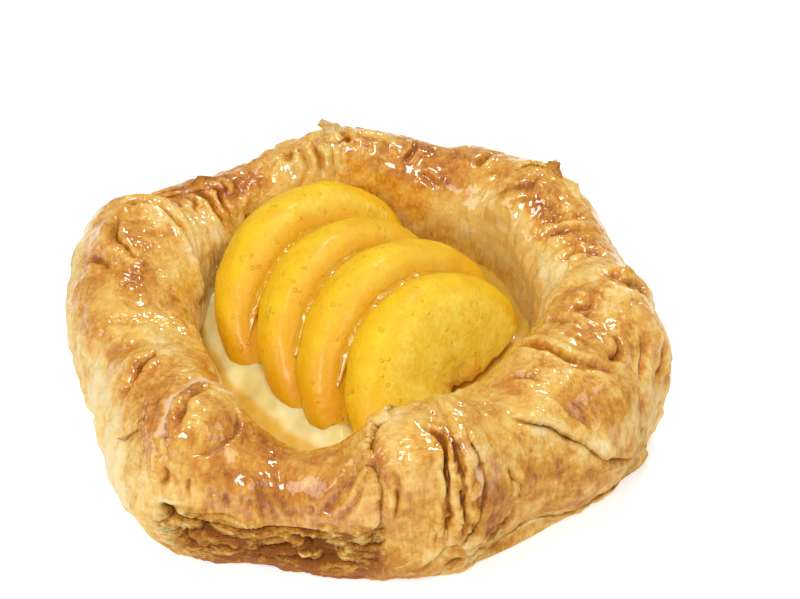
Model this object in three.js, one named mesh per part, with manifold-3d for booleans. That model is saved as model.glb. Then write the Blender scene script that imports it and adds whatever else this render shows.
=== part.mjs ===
// Peach Danish: a round laminated pastry case with a turned, pleated rim, filled with custard
// and four overlapping peach slices under a clear glaze.
// Millimetres, +Z up, the underside on z = 0, the front band towards -Y.
import * as THREE from 'three';
import { mergeVertices } from 'three/addons/utils/BufferGeometryUtils.js';
import Module from 'manifold-3d';

// ---- driving dimensions -------------------------------------------------------------------

const gap = 0.3; // clearance kept between touching pieces

// Middle of the baked case seen from the part's origin, which puts the origin under the middle
// of the whole pastry.
const caseMiddle = { x: 1.6, y: 1.1 };

// The rim, station by station. at: degrees round from +X. foot, bulge, crest, hollow: radii of
// the edge it stands on, the fattest outer line, the top line and the inner wall. height: top.
// belly: share of the height at which the outer wall is fattest.
const rimStations = [
  { part: 'right ear', at: -14, foot: 57, bulge: 59.5, crest: 45.5, height: 33, hollow: 33, belly: 0.42 },
  { part: 'right back band', at: 15, foot: 53.5, bulge: 56, crest: 45, height: 29, hollow: 33, belly: 0.42 },
  { part: 'back right pleat', at: 42, foot: 53, bulge: 56, crest: 45, height: 32, hollow: 34.5, belly: 0.45 },
  { part: 'back band', at: 73, foot: 50, bulge: 53, crest: 42, height: 29, hollow: 34, belly: 0.45 },
  { part: 'back crown', at: 102, foot: 50, bulge: 53, crest: 42, height: 34, hollow: 36.5, belly: 0.45 },
  { part: 'left back band', at: 131, foot: 52, bulge: 55.5, crest: 45, height: 29, hollow: 36.5, belly: 0.45 },
  { part: 'left ear', at: 158, foot: 59, bulge: 64, crest: 50, height: 31, hollow: 35, belly: 0.42 },
  { part: 'left band', at: 180, foot: 56.5, bulge: 60.5, crest: 48.5, height: 28, hollow: 34.5, belly: 0.4 },
  { part: 'left front band', at: 203, foot: 53, bulge: 57, crest: 45, height: 27, hollow: 33, belly: 0.4 },
  { part: 'front left roll', at: 228, foot: 55, bulge: 59.5, crest: 47, height: 27, hollow: 36, belly: 0.42 },
  { part: 'front band', at: 252, foot: 52, bulge: 54, crest: 45, height: 21.5, hollow: 38, belly: 0.4 },
  { part: 'front pleat', at: 280, foot: 52.5, bulge: 55, crest: 46, height: 32, hollow: 33, belly: 0.42 },
  { part: 'right front band', at: 312, foot: 52, bulge: 56, crest: 43, height: 30, hollow: 30, belly: 0.42 },
];

const caseFloor = 5; // thickness of dough under the filling
const caseRows = { bottom: 2, foot: 4, shoulder: 7, lip: 5, wall: 4, floor: 2 };
const caseColumns = 96;

// Folds pressed into the rim where the dough is gathered. at and end: degrees at the outer foot
// and at the inner wall. deep and wide: millimetres and degrees.
const rimFolds = [
  { at: 166, end: 150, deep: 2.6, wide: 5 },
  { at: 214, end: 219, deep: 2.2, wide: 5 },
  { at: 238, end: 240, deep: 1.6, wide: 5 },
  { at: 268, end: 262, deep: 2.4, wide: 5 },
  { at: 293, end: 289, deep: 3.0, wide: 5 },
  { at: 330, end: 312, deep: 2.2, wide: 5 },
  { at: 352, end: 340, deep: 2.4, wide: 5 },
  { at: 27, end: 30, deep: 1.8, wide: 5 },
  { at: 52, end: 47, deep: 2.2, wide: 5 },
  { at: 92, end: 86, deep: 2.0, wide: 5 },
  { at: 112, end: 116, deep: 2.2, wide: 5 },
];

const custard = {
  clearance: 0.7, // off the baked wall
  middle: 11.6, // height under the fruit
  edge: 10, // height along the wall
  mound: { at: 215, spread: 48, rise: 3 }, // the piped heap left open at the front left
  columns: 48,
};

// Each slice is a wedge of a peach half: hub on its core line, turn: degrees the core line is
// turned from +X, rise: degrees it climbs, lean: degrees its upper cut face is tipped up.
// wedge: angle between the two cut faces, radius: peach radius, flesh: depth of flesh at the
// middle.
const peachSlices = [
  { hub: [-4.9, 9.8, 9.9], turn: 50, rise: 3, lean: 58, wedge: 38, radius: 28.3, flesh: 17 },
  { hub: [2.8, -0.8, 9.7], turn: 54, rise: 1, lean: 60, wedge: 38, radius: 28, flesh: 17 },
  { hub: [11.2, -9.3, 10.2], turn: 48, rise: 4, lean: 62, wedge: 38, radius: 28, flesh: 17 },
  { hub: [18.8, -17.8, 10.4], turn: 52, rise: 0, lean: 62, wedge: 39, radius: 27, flesh: 22 },
];
const sliceEnds = { from: -2, to: 168 }; // degrees along each slice that are left after trimming
const tipDepth = 0.3; // share of the flesh at which the ends of a slice close
const sliceRings = 18;
const sliceSides = 14;

// Glaze run together in the groove beside each slice but the last.
const glazeBead = { radius: 1.5, from: 50, to: 140, rings: 16, sides: 10 };

// ---- finishes -----------------------------------------------------------------------------

const crust = new THREE.MeshStandardMaterial({ color: 0xd9a35a, roughness: 0.55, metalness: 0 });
const cream = new THREE.MeshStandardMaterial({ color: 0xefe0a0, roughness: 0.45, metalness: 0 });
const peach = new THREE.MeshStandardMaterial({ color: 0xf5b928, roughness: 0.3, metalness: 0 });
const glaze = new THREE.MeshStandardMaterial({ color: 0xe8a23a, roughness: 0.08, metalness: 0 });

// ---- shape helpers ------------------------------------------------------------------------

const radians = THREE.MathUtils.degToRad;

// Power of a number that keeps its sign.
function signedPower(value, power) {
  return Math.sign(value) * Math.abs(value) ** power;
}

// Degrees from b to a the short way round.
function turnBetween(a, b) {
  return THREE.MathUtils.euclideanModulo(a - b + 180, 360) - 180;
}

// A closed skin over rings of points, all with the same count, from one end point to the other.
function closedLoft(startPoint, rings, endPoint) {
  const points = [startPoint, ...rings.flat(), endPoint];
  const count = rings[0].length;
  const last = points.length - 1;
  const corners = [];
  for (let i = 0; i < count; i += 1) {
    const j = (i + 1) % count;
    corners.push(0, 1 + j, 1 + i);
    corners.push(last, last - count + i, last - count + j);
    for (let k = 0; k < rings.length - 1; k += 1) {
      const a = 1 + k * count + i;
      const b = 1 + k * count + j;
      corners.push(a, b, b + count);
      corners.push(a, b + count, a + count);
    }
  }
  const geometry = new THREE.BufferGeometry().setFromPoints(points);
  geometry.setIndex(corners);
  return geometry;
}

// The rim's measures at any angle, run smoothly through the stations.
function rimAt(degrees) {
  const count = rimStations.length;
  const start = rimStations[0].at;
  const angle = start + THREE.MathUtils.euclideanModulo(degrees - start, 360);
  let i = count - 1;
  while (rimStations[i].at > angle) {
    i -= 1;
  }
  const at = (k) => rimStations[(k + count) % count].at + 360 * Math.floor(k / count);
  const span = at(i + 1) - at(i);
  const t = (angle - at(i)) / span;
  const measures = {};
  for (const name of ['foot', 'bulge', 'crest', 'height', 'hollow', 'belly']) {
    const value = (k) => rimStations[(k + count) % count][name];
    const slope = (k) => (value(k + 1) - value(k - 1)) / (at(k + 1) - at(k - 1)) * span;
    measures[name] = (2 * t ** 3 - 3 * t ** 2 + 1) * value(i)
      + (t ** 3 - 2 * t ** 2 + t) * slope(i)
      + (3 * t ** 2 - 2 * t ** 3) * value(i + 1)
      + (t ** 3 - t ** 2) * slope(i + 1);
  }
  return measures;
}

// Radius and height of the rim's skin. way runs from 0 at the foot over the bulge (0.22), the
// crest (0.5) and the inner wall (0.78) to 1 on the floor of the hollow.
function rimSection(rim, way) {
  const quarter = Math.PI / 2;
  const bellyHeight = rim.height * rim.belly;
  const lipHeight = rim.height * 0.5;
  if (way < 0.22) {
    const t = way / 0.22;
    return [
      rim.foot + (rim.bulge - rim.foot) * Math.sin(t * quarter),
      bellyHeight * (1 - Math.cos(t * quarter)) ** 0.8,
    ];
  }
  if (way < 0.5) {
    const t = (way - 0.22) / 0.28;
    return [
      rim.crest + (rim.bulge - rim.crest) * Math.cos(t * quarter) ** 0.9,
      bellyHeight + (rim.height - bellyHeight) * Math.sin(t * quarter) ** 0.9,
    ];
  }
  if (way < 0.78) {
    const t = (way - 0.5) / 0.28;
    return [
      rim.crest - (rim.crest - rim.hollow) * Math.sin(t * quarter),
      lipHeight + (rim.height - lipHeight) * Math.max(Math.cos(t * quarter), 0) ** 0.9,
    ];
  }
  const t = (way - 0.78) / 0.22;
  return [rim.hollow - t ** 2, lipHeight + (caseFloor - lipHeight) * t];
}

// How deep the folds press the rim's skin inwards at a place.
function foldDepth(degrees, way) {
  const fade = Math.max(Math.sin(Math.PI * Math.min(way / 0.84, 1)), 0);
  let depth = 0;
  for (const fold of rimFolds) {
    const line = fold.at + turnBetween(fold.end, fold.at) * Math.min(way / 0.78, 1);
    const across = turnBetween(degrees, line) / fold.wide;
    depth += fold.deep * Math.exp(-across * across) * fade;
  }
  return depth;
}

// ---- the baked case -----------------------------------------------------------------------

// A point of the rim's skin, pressed in towards the dough's own middle line by the folds.
function casePoint(degrees, way) {
  const rim = rimAt(degrees);
  const [radius, height] = rimSection(rim, way);
  const core = [(rim.bulge + rim.hollow) / 2, rim.height * 0.4];
  const across = core[0] - radius;
  const up = core[1] - height;
  const press = foldDepth(degrees, way) / Math.hypot(across, up);
  const r = radius + across * press;
  const angle = radians(degrees);
  return new THREE.Vector3(r * Math.cos(angle), r * Math.sin(angle), height + up * press);
}

function makeCase() {
  const ways = [];
  const stretch = (from, to, rows) => {
    for (let i = 0; i < rows; i += 1) {
      ways.push(from + (to - from) * i / rows);
    }
  };
  stretch(0, 0.22, caseRows.foot);
  stretch(0.22, 0.5, caseRows.shoulder);
  stretch(0.5, 0.78, caseRows.lip);
  stretch(0.78, 1, caseRows.wall);
  ways.push(1);
  const loop = (makePoint) => Array.from(
    { length: caseColumns },
    (_, i) => makePoint(360 * i / caseColumns),
  );
  const disc = (height, way, rows, outwards) => {
    const rings = [];
    for (let i = 1; i < rows; i += 1) {
      const share = outwards ? i / rows : 1 - i / rows;
      rings.push(loop((degrees) => {
        const edge = casePoint(degrees, way);
        return new THREE.Vector3(edge.x * share, edge.y * share, height);
      }));
    }
    return rings;
  };
  const rings = [
    ...disc(0, 0, caseRows.bottom, true),
    ...ways.map((way) => loop((degrees) => casePoint(degrees, way))),
    ...disc(caseFloor, 1, caseRows.floor, false),
  ];
  return closedLoft(new THREE.Vector3(0, 0, 0), rings, new THREE.Vector3(0, 0, caseFloor));
}

// ---- the filling --------------------------------------------------------------------------

// Axes of a slice: along its core line, out to the middle of its upper rim, off its cut face.
function sliceAxes(slice) {
  const turn = radians(slice.turn);
  const rise = radians(slice.rise);
  const lean = radians(slice.lean);
  const along = new THREE.Vector3(
    Math.cos(turn) * Math.cos(rise),
    Math.sin(turn) * Math.cos(rise),
    Math.sin(rise),
  );
  const side = new THREE.Vector3(-Math.sin(turn), Math.cos(turn), 0);
  const up = new THREE.Vector3().crossVectors(along, side);
  const out = side.clone().multiplyScalar(Math.cos(lean)).addScaledVector(up, Math.sin(lean));
  return { along, out, off: new THREE.Vector3().crossVectors(along, out) };
}

// A point of a slice. end: -1 to 1 along it, depth: 0 at the skin to millimetres inwards,
// swing: degrees below the upper cut face.
function slicePoint(slice, axes, end, depth, swing) {
  const middle = (sliceEnds.from + sliceEnds.to) / 2;
  const place = radians(middle + end * (sliceEnds.to - sliceEnds.from) / 2);
  const angle = radians(swing);
  const outwards = axes.out.clone().multiplyScalar(Math.cos(angle))
    .addScaledVector(axes.off, -Math.sin(angle));
  const distance = slice.radius - depth;
  return new THREE.Vector3(...slice.hub)
    .addScaledVector(axes.along, -distance * Math.cos(place))
    .addScaledVector(outwards, distance * Math.sin(place));
}

// A rounded peach wedge. grow makes it larger all round, for cutting its place in a neighbour.
function makeSlice(slice, grow = 0) {
  const axes = sliceAxes(slice);
  const rings = [];
  for (let k = 1; k < sliceRings; k += 1) {
    const end = -Math.cos(Math.PI * k / sliceRings);
    const taper = Math.sqrt(1 - end ** 6);
    const ring = [];
    for (let i = 0; i < sliceSides; i += 1) {
      const angle = 2 * Math.PI * i / sliceSides;
      const inwards = 0.5 - 0.5 * signedPower(Math.cos(angle), 0.7);
      const across = signedPower(Math.sin(angle), 0.7);
      const depth = slice.flesh * (tipDepth + taper * (inwards - tipDepth));
      const growAngle = THREE.MathUtils.radToDeg(grow / (slice.radius - depth));
      const swing = slice.wedge / 2 - across * (slice.wedge / 2 * taper + growAngle);
      const reach = depth + grow * (2 * inwards - 1);
      ring.push(slicePoint(slice, axes, end * (1 + grow / slice.radius), reach, swing));
    }
    rings.push(ring);
  }
  const tip = (end) => slicePoint(
    slice,
    axes,
    end * (1 + 2 * grow / slice.radius),
    slice.flesh * tipDepth,
    slice.wedge / 2,
  );
  return closedLoft(tip(-1), rings, tip(1));
}

// Height of the custard's top at a place: domed under the fruit, heaped along the front left.
function custardTop(degrees, share) {
  const away = turnBetween(degrees, custard.mound.at) / custard.mound.spread;
  const heap = custard.mound.rise * Math.exp(-away * away) * Math.min(share * 1.2, 1);
  return custard.middle + (custard.edge - custard.middle) * share ** 2 + heap;
}

function makeCustard() {
  const loop = (share, heightAt) => Array.from({ length: custard.columns }, (_, i) => {
    const degrees = 360 * i / custard.columns;
    const radius = (rimAt(degrees).hollow - 1 - custard.clearance) * share;
    const angle = radians(degrees);
    return new THREE.Vector3(
      radius * Math.cos(angle),
      radius * Math.sin(angle),
      heightAt(degrees, share),
    );
  });
  const bottom = caseFloor + gap;
  const rings = [
    loop(0.55, () => bottom),
    loop(0.96, () => bottom),
    loop(1, () => bottom + 0.8),
    loop(0.99, (degrees, share) => custardTop(degrees, share) - 0.6),
    loop(0.93, custardTop),
    loop(0.72, custardTop),
    loop(0.42, custardTop),
  ];
  return closedLoft(
    new THREE.Vector3(0, 0, bottom),
    rings,
    new THREE.Vector3(0, 0, custard.middle),
  );
}

// The point, degrees along the upper slice, where its skin meets the cut face of the lower one.
function groovePoint(lower, upper, place) {
  const upperAxes = sliceAxes(upper);
  const faceNormal = sliceAxes(lower).off;
  const lowerHub = new THREE.Vector3(...lower.hub);
  const end = 2 * (place - sliceEnds.from) / (sliceEnds.to - sliceEnds.from) - 1;
  const onSkin = (swing) => slicePoint(upper, upperAxes, end, 0, swing);
  let swing = 0;
  while (swing < upper.wedge && onSkin(swing).sub(lowerHub).dot(faceNormal) >= 0) {
    swing += 0.5;
  }
  return onSkin(swing);
}

// A tapering bead of glaze run together in the groove between two slices.
function makeGlazeBead(lower, upper) {
  const face = sliceAxes(lower).off.negate();
  const upperHub = new THREE.Vector3(...upper.hub);
  const middle = (share) => {
    const place = glazeBead.from + (glazeBead.to - glazeBead.from) * share;
    const point = groovePoint(lower, upper, place);
    const out = point.clone().sub(upperHub).normalize();
    return point.addScaledVector(out, 0.6).addScaledVector(face, 0.3);
  };
  const rings = [];
  for (let k = 1; k < glazeBead.rings; k += 1) {
    const share = k / glazeBead.rings;
    const size = glazeBead.radius * Math.sin(Math.PI * share) ** 0.5;
    const centre = middle(share);
    const heading = middle(share + 0.02).sub(middle(share - 0.02)).normalize();
    const side = new THREE.Vector3().crossVectors(heading, face).normalize();
    const lift = new THREE.Vector3().crossVectors(side, heading);
    rings.push(Array.from({ length: glazeBead.sides }, (_, i) => {
      const angle = 2 * Math.PI * i / glazeBead.sides;
      return centre.clone()
        .addScaledVector(lift, size * Math.cos(angle))
        .addScaledVector(side, size * Math.sin(angle));
    }));
  }
  return closedLoft(middle(0), rings, middle(1));
}

// ---- cutting ------------------------------------------------------------------------------

const wasm = await Module();
wasm.setup();

function solidOf(geometry) {
  const bare = new THREE.BufferGeometry();
  bare.setAttribute('position', geometry.getAttribute('position'));
  bare.setIndex(geometry.getIndex());
  const merged = mergeVertices(bare, 1e-5);
  return new wasm.Manifold(new wasm.Mesh({
    numProp: 3,
    vertProperties: new Float32Array(merged.getAttribute('position').array),
    triVerts: new Uint32Array(merged.getIndex().array),
  }));
}

function geometryOf(solid) {
  const mesh = solid.getMesh();
  const geometry = new THREE.BufferGeometry();
  geometry.setAttribute('position', new THREE.BufferAttribute(mesh.vertProperties, 3));
  geometry.setIndex(new THREE.BufferAttribute(mesh.triVerts, 1));
  return geometry;
}

// What is left of a piece once every neighbour is cut away, keeping only its largest body.
function cutAway(geometry, neighbours) {
  let solid = solidOf(geometry);
  for (const neighbour of neighbours) {
    solid = solid.subtract(solidOf(neighbour));
  }
  const bodies = solid.decompose().sort((a, b) => b.volume() - a.volume());
  return geometryOf(bodies[0]);
}

// ---- assembly -----------------------------------------------------------------------------

const danish = new THREE.Group();
danish.name = 'peach_danish';

function addPiece(name, geometry, material) {
  const flat = geometry.toNonIndexed();
  flat.computeVertexNormals();
  const mesh = new THREE.Mesh(flat, material);
  mesh.name = name;
  mesh.position.set(caseMiddle.x, caseMiddle.y, 0);
  danish.add(mesh);
}

const grownSlices = peachSlices.map((slice) => makeSlice(slice, gap));

addPiece('pastry_case', cutAway(makeCase(), grownSlices), crust);
addPiece('custard', cutAway(makeCustard(), grownSlices), cream);
peachSlices.forEach((slice, i) => {
  addPiece(`peach_slice_${i + 1}`, cutAway(makeSlice(slice), grownSlices.slice(i + 1)), peach);
});
peachSlices.slice(1).forEach((slice, i) => {
  const bead = makeGlazeBead(peachSlices[i], slice);
  addPiece(`glaze_bead_${i + 1}`, cutAway(bead, grownSlices), glaze);
});

export default danish;
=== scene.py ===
import math
import time

import bpy
import numpy as np
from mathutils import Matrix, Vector


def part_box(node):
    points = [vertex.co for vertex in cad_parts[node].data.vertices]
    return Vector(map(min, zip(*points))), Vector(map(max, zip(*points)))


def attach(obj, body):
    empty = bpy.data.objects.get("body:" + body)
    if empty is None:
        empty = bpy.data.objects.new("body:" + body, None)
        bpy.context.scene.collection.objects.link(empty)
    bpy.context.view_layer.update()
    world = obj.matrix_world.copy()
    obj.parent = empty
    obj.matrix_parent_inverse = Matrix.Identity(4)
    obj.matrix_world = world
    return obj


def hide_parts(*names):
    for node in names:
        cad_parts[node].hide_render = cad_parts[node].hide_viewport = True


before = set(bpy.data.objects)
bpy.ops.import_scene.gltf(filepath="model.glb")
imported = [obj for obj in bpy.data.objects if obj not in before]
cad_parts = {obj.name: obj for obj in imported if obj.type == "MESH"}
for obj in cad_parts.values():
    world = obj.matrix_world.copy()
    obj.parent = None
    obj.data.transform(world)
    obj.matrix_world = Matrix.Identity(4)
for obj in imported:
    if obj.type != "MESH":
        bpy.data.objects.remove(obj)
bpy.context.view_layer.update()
started = time.time()
mm = 0.001


def report(stage):
    print(f"[danish] {stage}: {time.time() - started:.1f} s")


# Numbers, noise and curves.

def smoothStep(low, high, x):
    t = np.clip((x - low) / (high - low), 0, 1)
    return t * t * (3 - 2 * t)


def unit(v):
    return v / np.maximum(np.linalg.norm(v, axis=-1, keepdims=True), 1e-9)


class Noise:
    # Gradient noise in space, about -1 to 1, the same every run for one seed.
    def __init__(self, seed):
        draw = np.random.default_rng(seed)
        self.table = np.tile(draw.permutation(256), 2)
        self.slopes = unit(draw.normal(size=(256, 3)))

    def __call__(self, points, size):
        p = np.asarray(points, float) / size
        cell = np.floor(p).astype(int)
        f = p - cell
        fade = f * f * f * (f * (f * 6 - 15) + 10)
        cell &= 255
        total = np.zeros(p.shape[:-1])
        for corner in range(8):
            step = np.array([corner & 1, corner >> 1 & 1, corner >> 2 & 1])
            c = (cell + step) & 255
            slot = self.table[self.table[self.table[c[..., 0]] + c[..., 1]] + c[..., 2]]
            weight = np.prod(np.where(step, fade, 1 - fade), axis=-1)
            total += weight * np.sum(self.slopes[slot] * (f - step), axis=-1)
        return total * 1.6

    def layered(self, points, size, octaves):
        return sum(self(points, size / 2 ** k) / 2 ** k for k in range(octaves))

    def ridged(self, points, size, octaves):
        return sum((1 - 2 * np.abs(self(points, size / 2 ** k))) / 2 ** k for k in range(octaves))


lumps = Noise(3)
grain = Noise(11)
swirl = Noise(29)


def through(points, spacing):
    # A smooth line through a few points, spaced evenly.
    p = np.asarray(points, float)
    if len(p) == 2:
        count = max(int(np.linalg.norm(p[1] - p[0]) / spacing), 2)
        return p[0] + (p[1] - p[0]) * np.linspace(0, 1, count + 1)[:, None]
    ends = np.concatenate([[2 * p[0] - p[1]], p, [2 * p[-1] - p[-2]]])
    out = []
    for a, b, c, d in zip(ends, ends[1:], ends[2:], ends[3:]):
        t = np.linspace(0, 1, max(int(np.linalg.norm(c - b) / spacing), 2), endpoint=False)[:, None]
        out.append(0.5 * (2 * b + (c - a) * t + (2 * a - 5 * b + 4 * c - d) * t ** 2
                          + (3 * b - a - 3 * c + d) * t ** 3))
    return np.concatenate(out + [p[-1:]])


def closedFaces(rings, count):
    # Faces of a skin over rings of points, closed at each end with one point that comes after them.
    faces = []
    firstPole = rings * count
    lastPole = firstPole + 1
    k = np.arange(rings - 1)[:, None] * count
    i = np.arange(count)
    j = (i + 1) % count
    quads = np.stack([k + i, k + j, k + count + j, k + count + i], axis=-1).reshape(-1, 4)
    faces.extend(quads.tolist())
    last = (rings - 1) * count
    faces.extend([[firstPole, int(b), int(a)] for a, b in zip(i, j)])
    faces.extend([[lastPole, last + int(a), last + int(b)] for a, b in zip(i, j)])
    return faces


def makePiece(name, points, faces, material, marks=None):
    mesh = bpy.data.meshes.new(name)
    mesh.from_pydata((points * mm).tolist(), [], faces)
    for key, values in (marks or {}).items():
        values = np.asarray(values, np.float32)
        kind, slot = ("FLOAT_VECTOR", "vector") if values.ndim == 2 else ("FLOAT", "value")
        mesh.attributes.new(key, kind, "POINT").data.foreach_set(slot, values.ravel())
    mesh.polygons.foreach_set("use_smooth", np.ones(len(mesh.polygons), bool))
    mesh.materials.append(material)
    mesh.validate()
    mesh.update()
    piece = bpy.data.objects.new(name, mesh)
    bpy.context.scene.collection.objects.link(piece)
    return piece


# Material maths.

class Wire:
    # A node's output that can be used in sums.
    def __init__(self, desk, socket):
        self.desk = desk
        self.socket = socket

    def sum(self, operation, *others):
        inputs = dict(enumerate((self,) + others))
        return self.desk.node("ShaderNodeMath", {"operation": operation}, inputs)

    def __add__(self, other):
        return self.sum("ADD", other)

    def __mul__(self, other):
        return self.sum("MULTIPLY", other)

    def __sub__(self, other):
        return self.sum("SUBTRACT", other)

    def __rsub__(self, other):
        return self.desk.node("ShaderNodeMath", {"operation": "SUBTRACT"}, {0: other, 1: self})

    __radd__ = __add__

    def clamped(self):
        return self.desk.node("ShaderNodeClamp", {}, {"Value": self})

    def between(self, low, high):
        values = {"Value": self, "From Min": low, "From Max": high}
        return self.desk.node("ShaderNodeMapRange", {"interpolation_type": "SMOOTHSTEP"}, values)


class Desk:
    # The node tree of one material.
    def __init__(self, name):
        self.material = bpy.data.materials.new(name)
        self.material.use_nodes = True
        self.tree = self.material.node_tree
        self.tree.nodes.clear()

    def node(self, kind, settings, values, output=0):
        made = self.tree.nodes.new(kind)
        for key, setting in settings.items():
            if key == "stops":
                ramp = made.color_ramp
                while len(ramp.elements) < len(setting):
                    ramp.elements.new(0.5)
                for element, (at, colour) in zip(ramp.elements, setting):
                    element.position = at
                    element.color = (*colour, 1)
            else:
                setattr(made, key, setting)
        for key, value in values.items():
            if isinstance(value, Wire):
                self.tree.links.new(value.socket, made.inputs[key])
            else:
                made.inputs[key].default_value = value
        return Wire(self, made.outputs[output]) if len(made.outputs) else None

    def mark(self, name, output="Fac"):
        return self.node("ShaderNodeAttribute", {"attribute_name": name}, {}, output)

    def position(self):
        return self.node("ShaderNodeTexCoord", {}, {}, "Object")

    def noise(self, size, detail=3.0, roughness=0.55, where=None, bend=0.0):
        values = {"Vector": where or self.position(), "Scale": 1 / (size * mm), "Detail": detail,
                  "Roughness": roughness, "Distortion": bend}
        return self.node("ShaderNodeTexNoise", {}, values, "Fac")

    def blend(self, amount, first, second, mode="MIX"):
        settings = {"data_type": "RGBA", "blend_type": mode}
        return self.node("ShaderNodeMix", settings, {0: amount, 6: first, 7: second}, 2)

    def ramp(self, amount, stops):
        return self.node("ShaderNodeValToRGB", {"stops": stops}, {"Fac": amount}, "Color")

    def bump(self, height, distance, strength=1.0):
        values = {"Height": height, "Distance": distance * mm, "Strength": strength}
        return self.node("ShaderNodeBump", {}, values, "Normal")

    def finish(self, values):
        surface = self.node("ShaderNodeBsdfPrincipled", {}, values, "BSDF")
        self.node("ShaderNodeOutputMaterial", {}, {"Surface": surface})
        return self.material


# The baked rim's own shape, station by station round from +X.
# degrees: (foot, bulge, crest, height, hollow, belly)
rimStations = {
    -14: (57, 59.5, 45.5, 33, 33, 0.42),
    15: (53.5, 56, 45, 29, 33, 0.42),
    42: (53, 56, 45, 32, 34.5, 0.45),
    73: (50, 53, 42, 29, 34, 0.45),
    102: (50, 53, 42, 34, 36.5, 0.45),
    131: (52, 55.5, 45, 29, 36.5, 0.45),
    158: (59, 64, 50, 31, 35, 0.42),
    180: (56.5, 60.5, 48.5, 28, 34.5, 0.4),
    203: (53, 57, 45, 27, 33, 0.4),
    228: (55, 59.5, 47, 27, 36, 0.42),
    252: (52, 54, 45, 21.5, 38, 0.4),
    280: (52.5, 55, 46, 32, 33, 0.42),
    312: (52, 56, 43, 30, 30, 0.42),
}
caseFloor = 5.0

# Way up the section of the rim: 0 at the foot, 1 where the inner wall meets the floor.
bulgeWay = 0.22
crestWay = 0.5
lipWay = 0.78
wayLength = 110.0  # mm of section, roughly, between way 0 and way 1


def rimAt(degrees):
    at = np.array(sorted(rimStations), float)
    values = np.array([rimStations[a] for a in sorted(rimStations)], float)
    at = np.concatenate([at - 360, at, at + 360])
    values = np.tile(values, (3, 1))
    gaps = np.roll(at, -1) - np.roll(at, 1)
    slopes = (np.roll(values, -1, 0) - np.roll(values, 1, 0)) / gaps[:, None]
    turn = np.mod(np.asarray(degrees, float), 360)
    i = np.searchsorted(at, turn, side="right") - 1
    span = (at[i + 1] - at[i])[..., None]
    t = (turn - at[i])[..., None] / span
    out = ((2 * t ** 3 - 3 * t ** 2 + 1) * values[i] + (t ** 3 - 2 * t ** 2 + t) * slopes[i] * span
           + (3 * t ** 2 - 2 * t ** 3) * values[i + 1] + (t ** 3 - t ** 2) * slopes[i + 1] * span)
    return np.moveaxis(out, -1, 0)  # one row each: foot, bulge, crest, height, hollow, belly


def rimPoint(degrees, way):
    foot, bulge, crest, height, hollow, belly = rimAt(degrees)
    quarter = math.pi / 2
    lipHeight = height * 0.5
    t1 = np.clip(way / bulgeWay, 0, 1) * quarter
    t2 = np.clip((way - bulgeWay) / (crestWay - bulgeWay), 0, 1) * quarter
    t3 = np.clip((way - crestWay) / (lipWay - crestWay), 0, 1) * quarter
    t4 = np.clip((way - lipWay) / (1 - lipWay), 0, 1)
    steps = [way <= bulgeWay, way <= crestWay, way <= lipWay]
    radius = np.select(steps, [
        foot + (bulge - foot) * np.sin(t1),
        crest + (bulge - crest) * np.cos(t2) ** 0.9,
        crest - (crest - hollow) * np.sin(t3),
    ], hollow - t4 ** 2)
    z = np.select(steps, [
        height * belly * (1 - np.cos(t1)) ** 0.8,
        height * (belly + (1 - belly) * np.sin(t2) ** 0.9),
        lipHeight + (height - lipHeight) * np.maximum(np.cos(t3), 0) ** 0.9,
    ], lipHeight + (caseFloor - lipHeight) * t4)
    turn = np.radians(degrees)
    return np.stack([radius * np.cos(turn), radius * np.sin(turn), z], axis=-1)


widest = rimPoint(np.arange(0, 360, 0.5), bulgeWay)
ringLow = widest.min(axis=0)
ringHigh = widest.max(axis=0)
boxLow, boxHigh = [np.array(v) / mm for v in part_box("pastry_case")]
place = (boxLow + boxHigh - ringLow - ringHigh) / 2
place[2] = 0


# Camera.

view = {
    "elevation": 42.0,
    "distance": 450.0,
    "lens": 102.0,
    "turnsAbout": (0.0, 0.0, 14.0),
    "aimsAt": (5.9, 4.5, 18.9),
}


def setCamera():
    tilt = math.radians(view["elevation"])
    back = np.array([0, -math.cos(tilt), math.sin(tilt)])
    spot = (np.array(view["turnsAbout"]) + place + back * view["distance"]) * mm
    aim = (np.array(view["aimsAt"]) + place) * mm
    data = bpy.data.cameras.new("camera")
    data.lens = view["lens"]
    data.sensor_width = 36
    data.clip_start = 0.01
    body = bpy.data.objects.new("camera", data)
    body.location = spot
    body.rotation_euler = Vector(aim - spot).to_track_quat("-Z", "Y").to_euler()
    bpy.context.scene.collection.objects.link(body)
    bpy.context.scene.camera = body


setCamera()


# The dough, worked like clay.

crustMarks = ("bake", "gloss", "raw", "char", "smooth", "layers")
doughSize = {
    "columns": 1020,
    "sideRows": 46,      # foot to the fattest line
    "shoulderRows": 78,  # up to the crest
    "lipRows": 60,       # over and down the inner wall
    "wallRows": 14,      # to the floor
}

# mm the outer side is eased out or in, by degrees round
outlineNudges = {
    0: -1.6, 5: -2.0, 14: -1.2, 20: -1.4, 31: -1.7, 40: -1.7, 52: -1.9, 62: -0.8, 70: -1.4,
    100: -1.7, 112: -1.9, 125: -2.9, 138: -2.4, 148: -3.4, 155: -0.2, 162: -1.2, 180: -0.9,
    195: -2.0, 201: -1.8, 206: 0.2, 214: 0.4, 221: 0.8, 228: 2.0, 235: 1.3, 250: 0, 280: 0.4,
    288: 1.4, 295: -0.8, 302: -1.6, 308: -0.6, 312: 0.4, 318: 1.5, 325: 1.5, 332: -0.8,
    340: -0.7, 344: 0.1, 349: -0.8, 353: -2.2, 356: -2.8, 360: -1.6,
}


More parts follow.
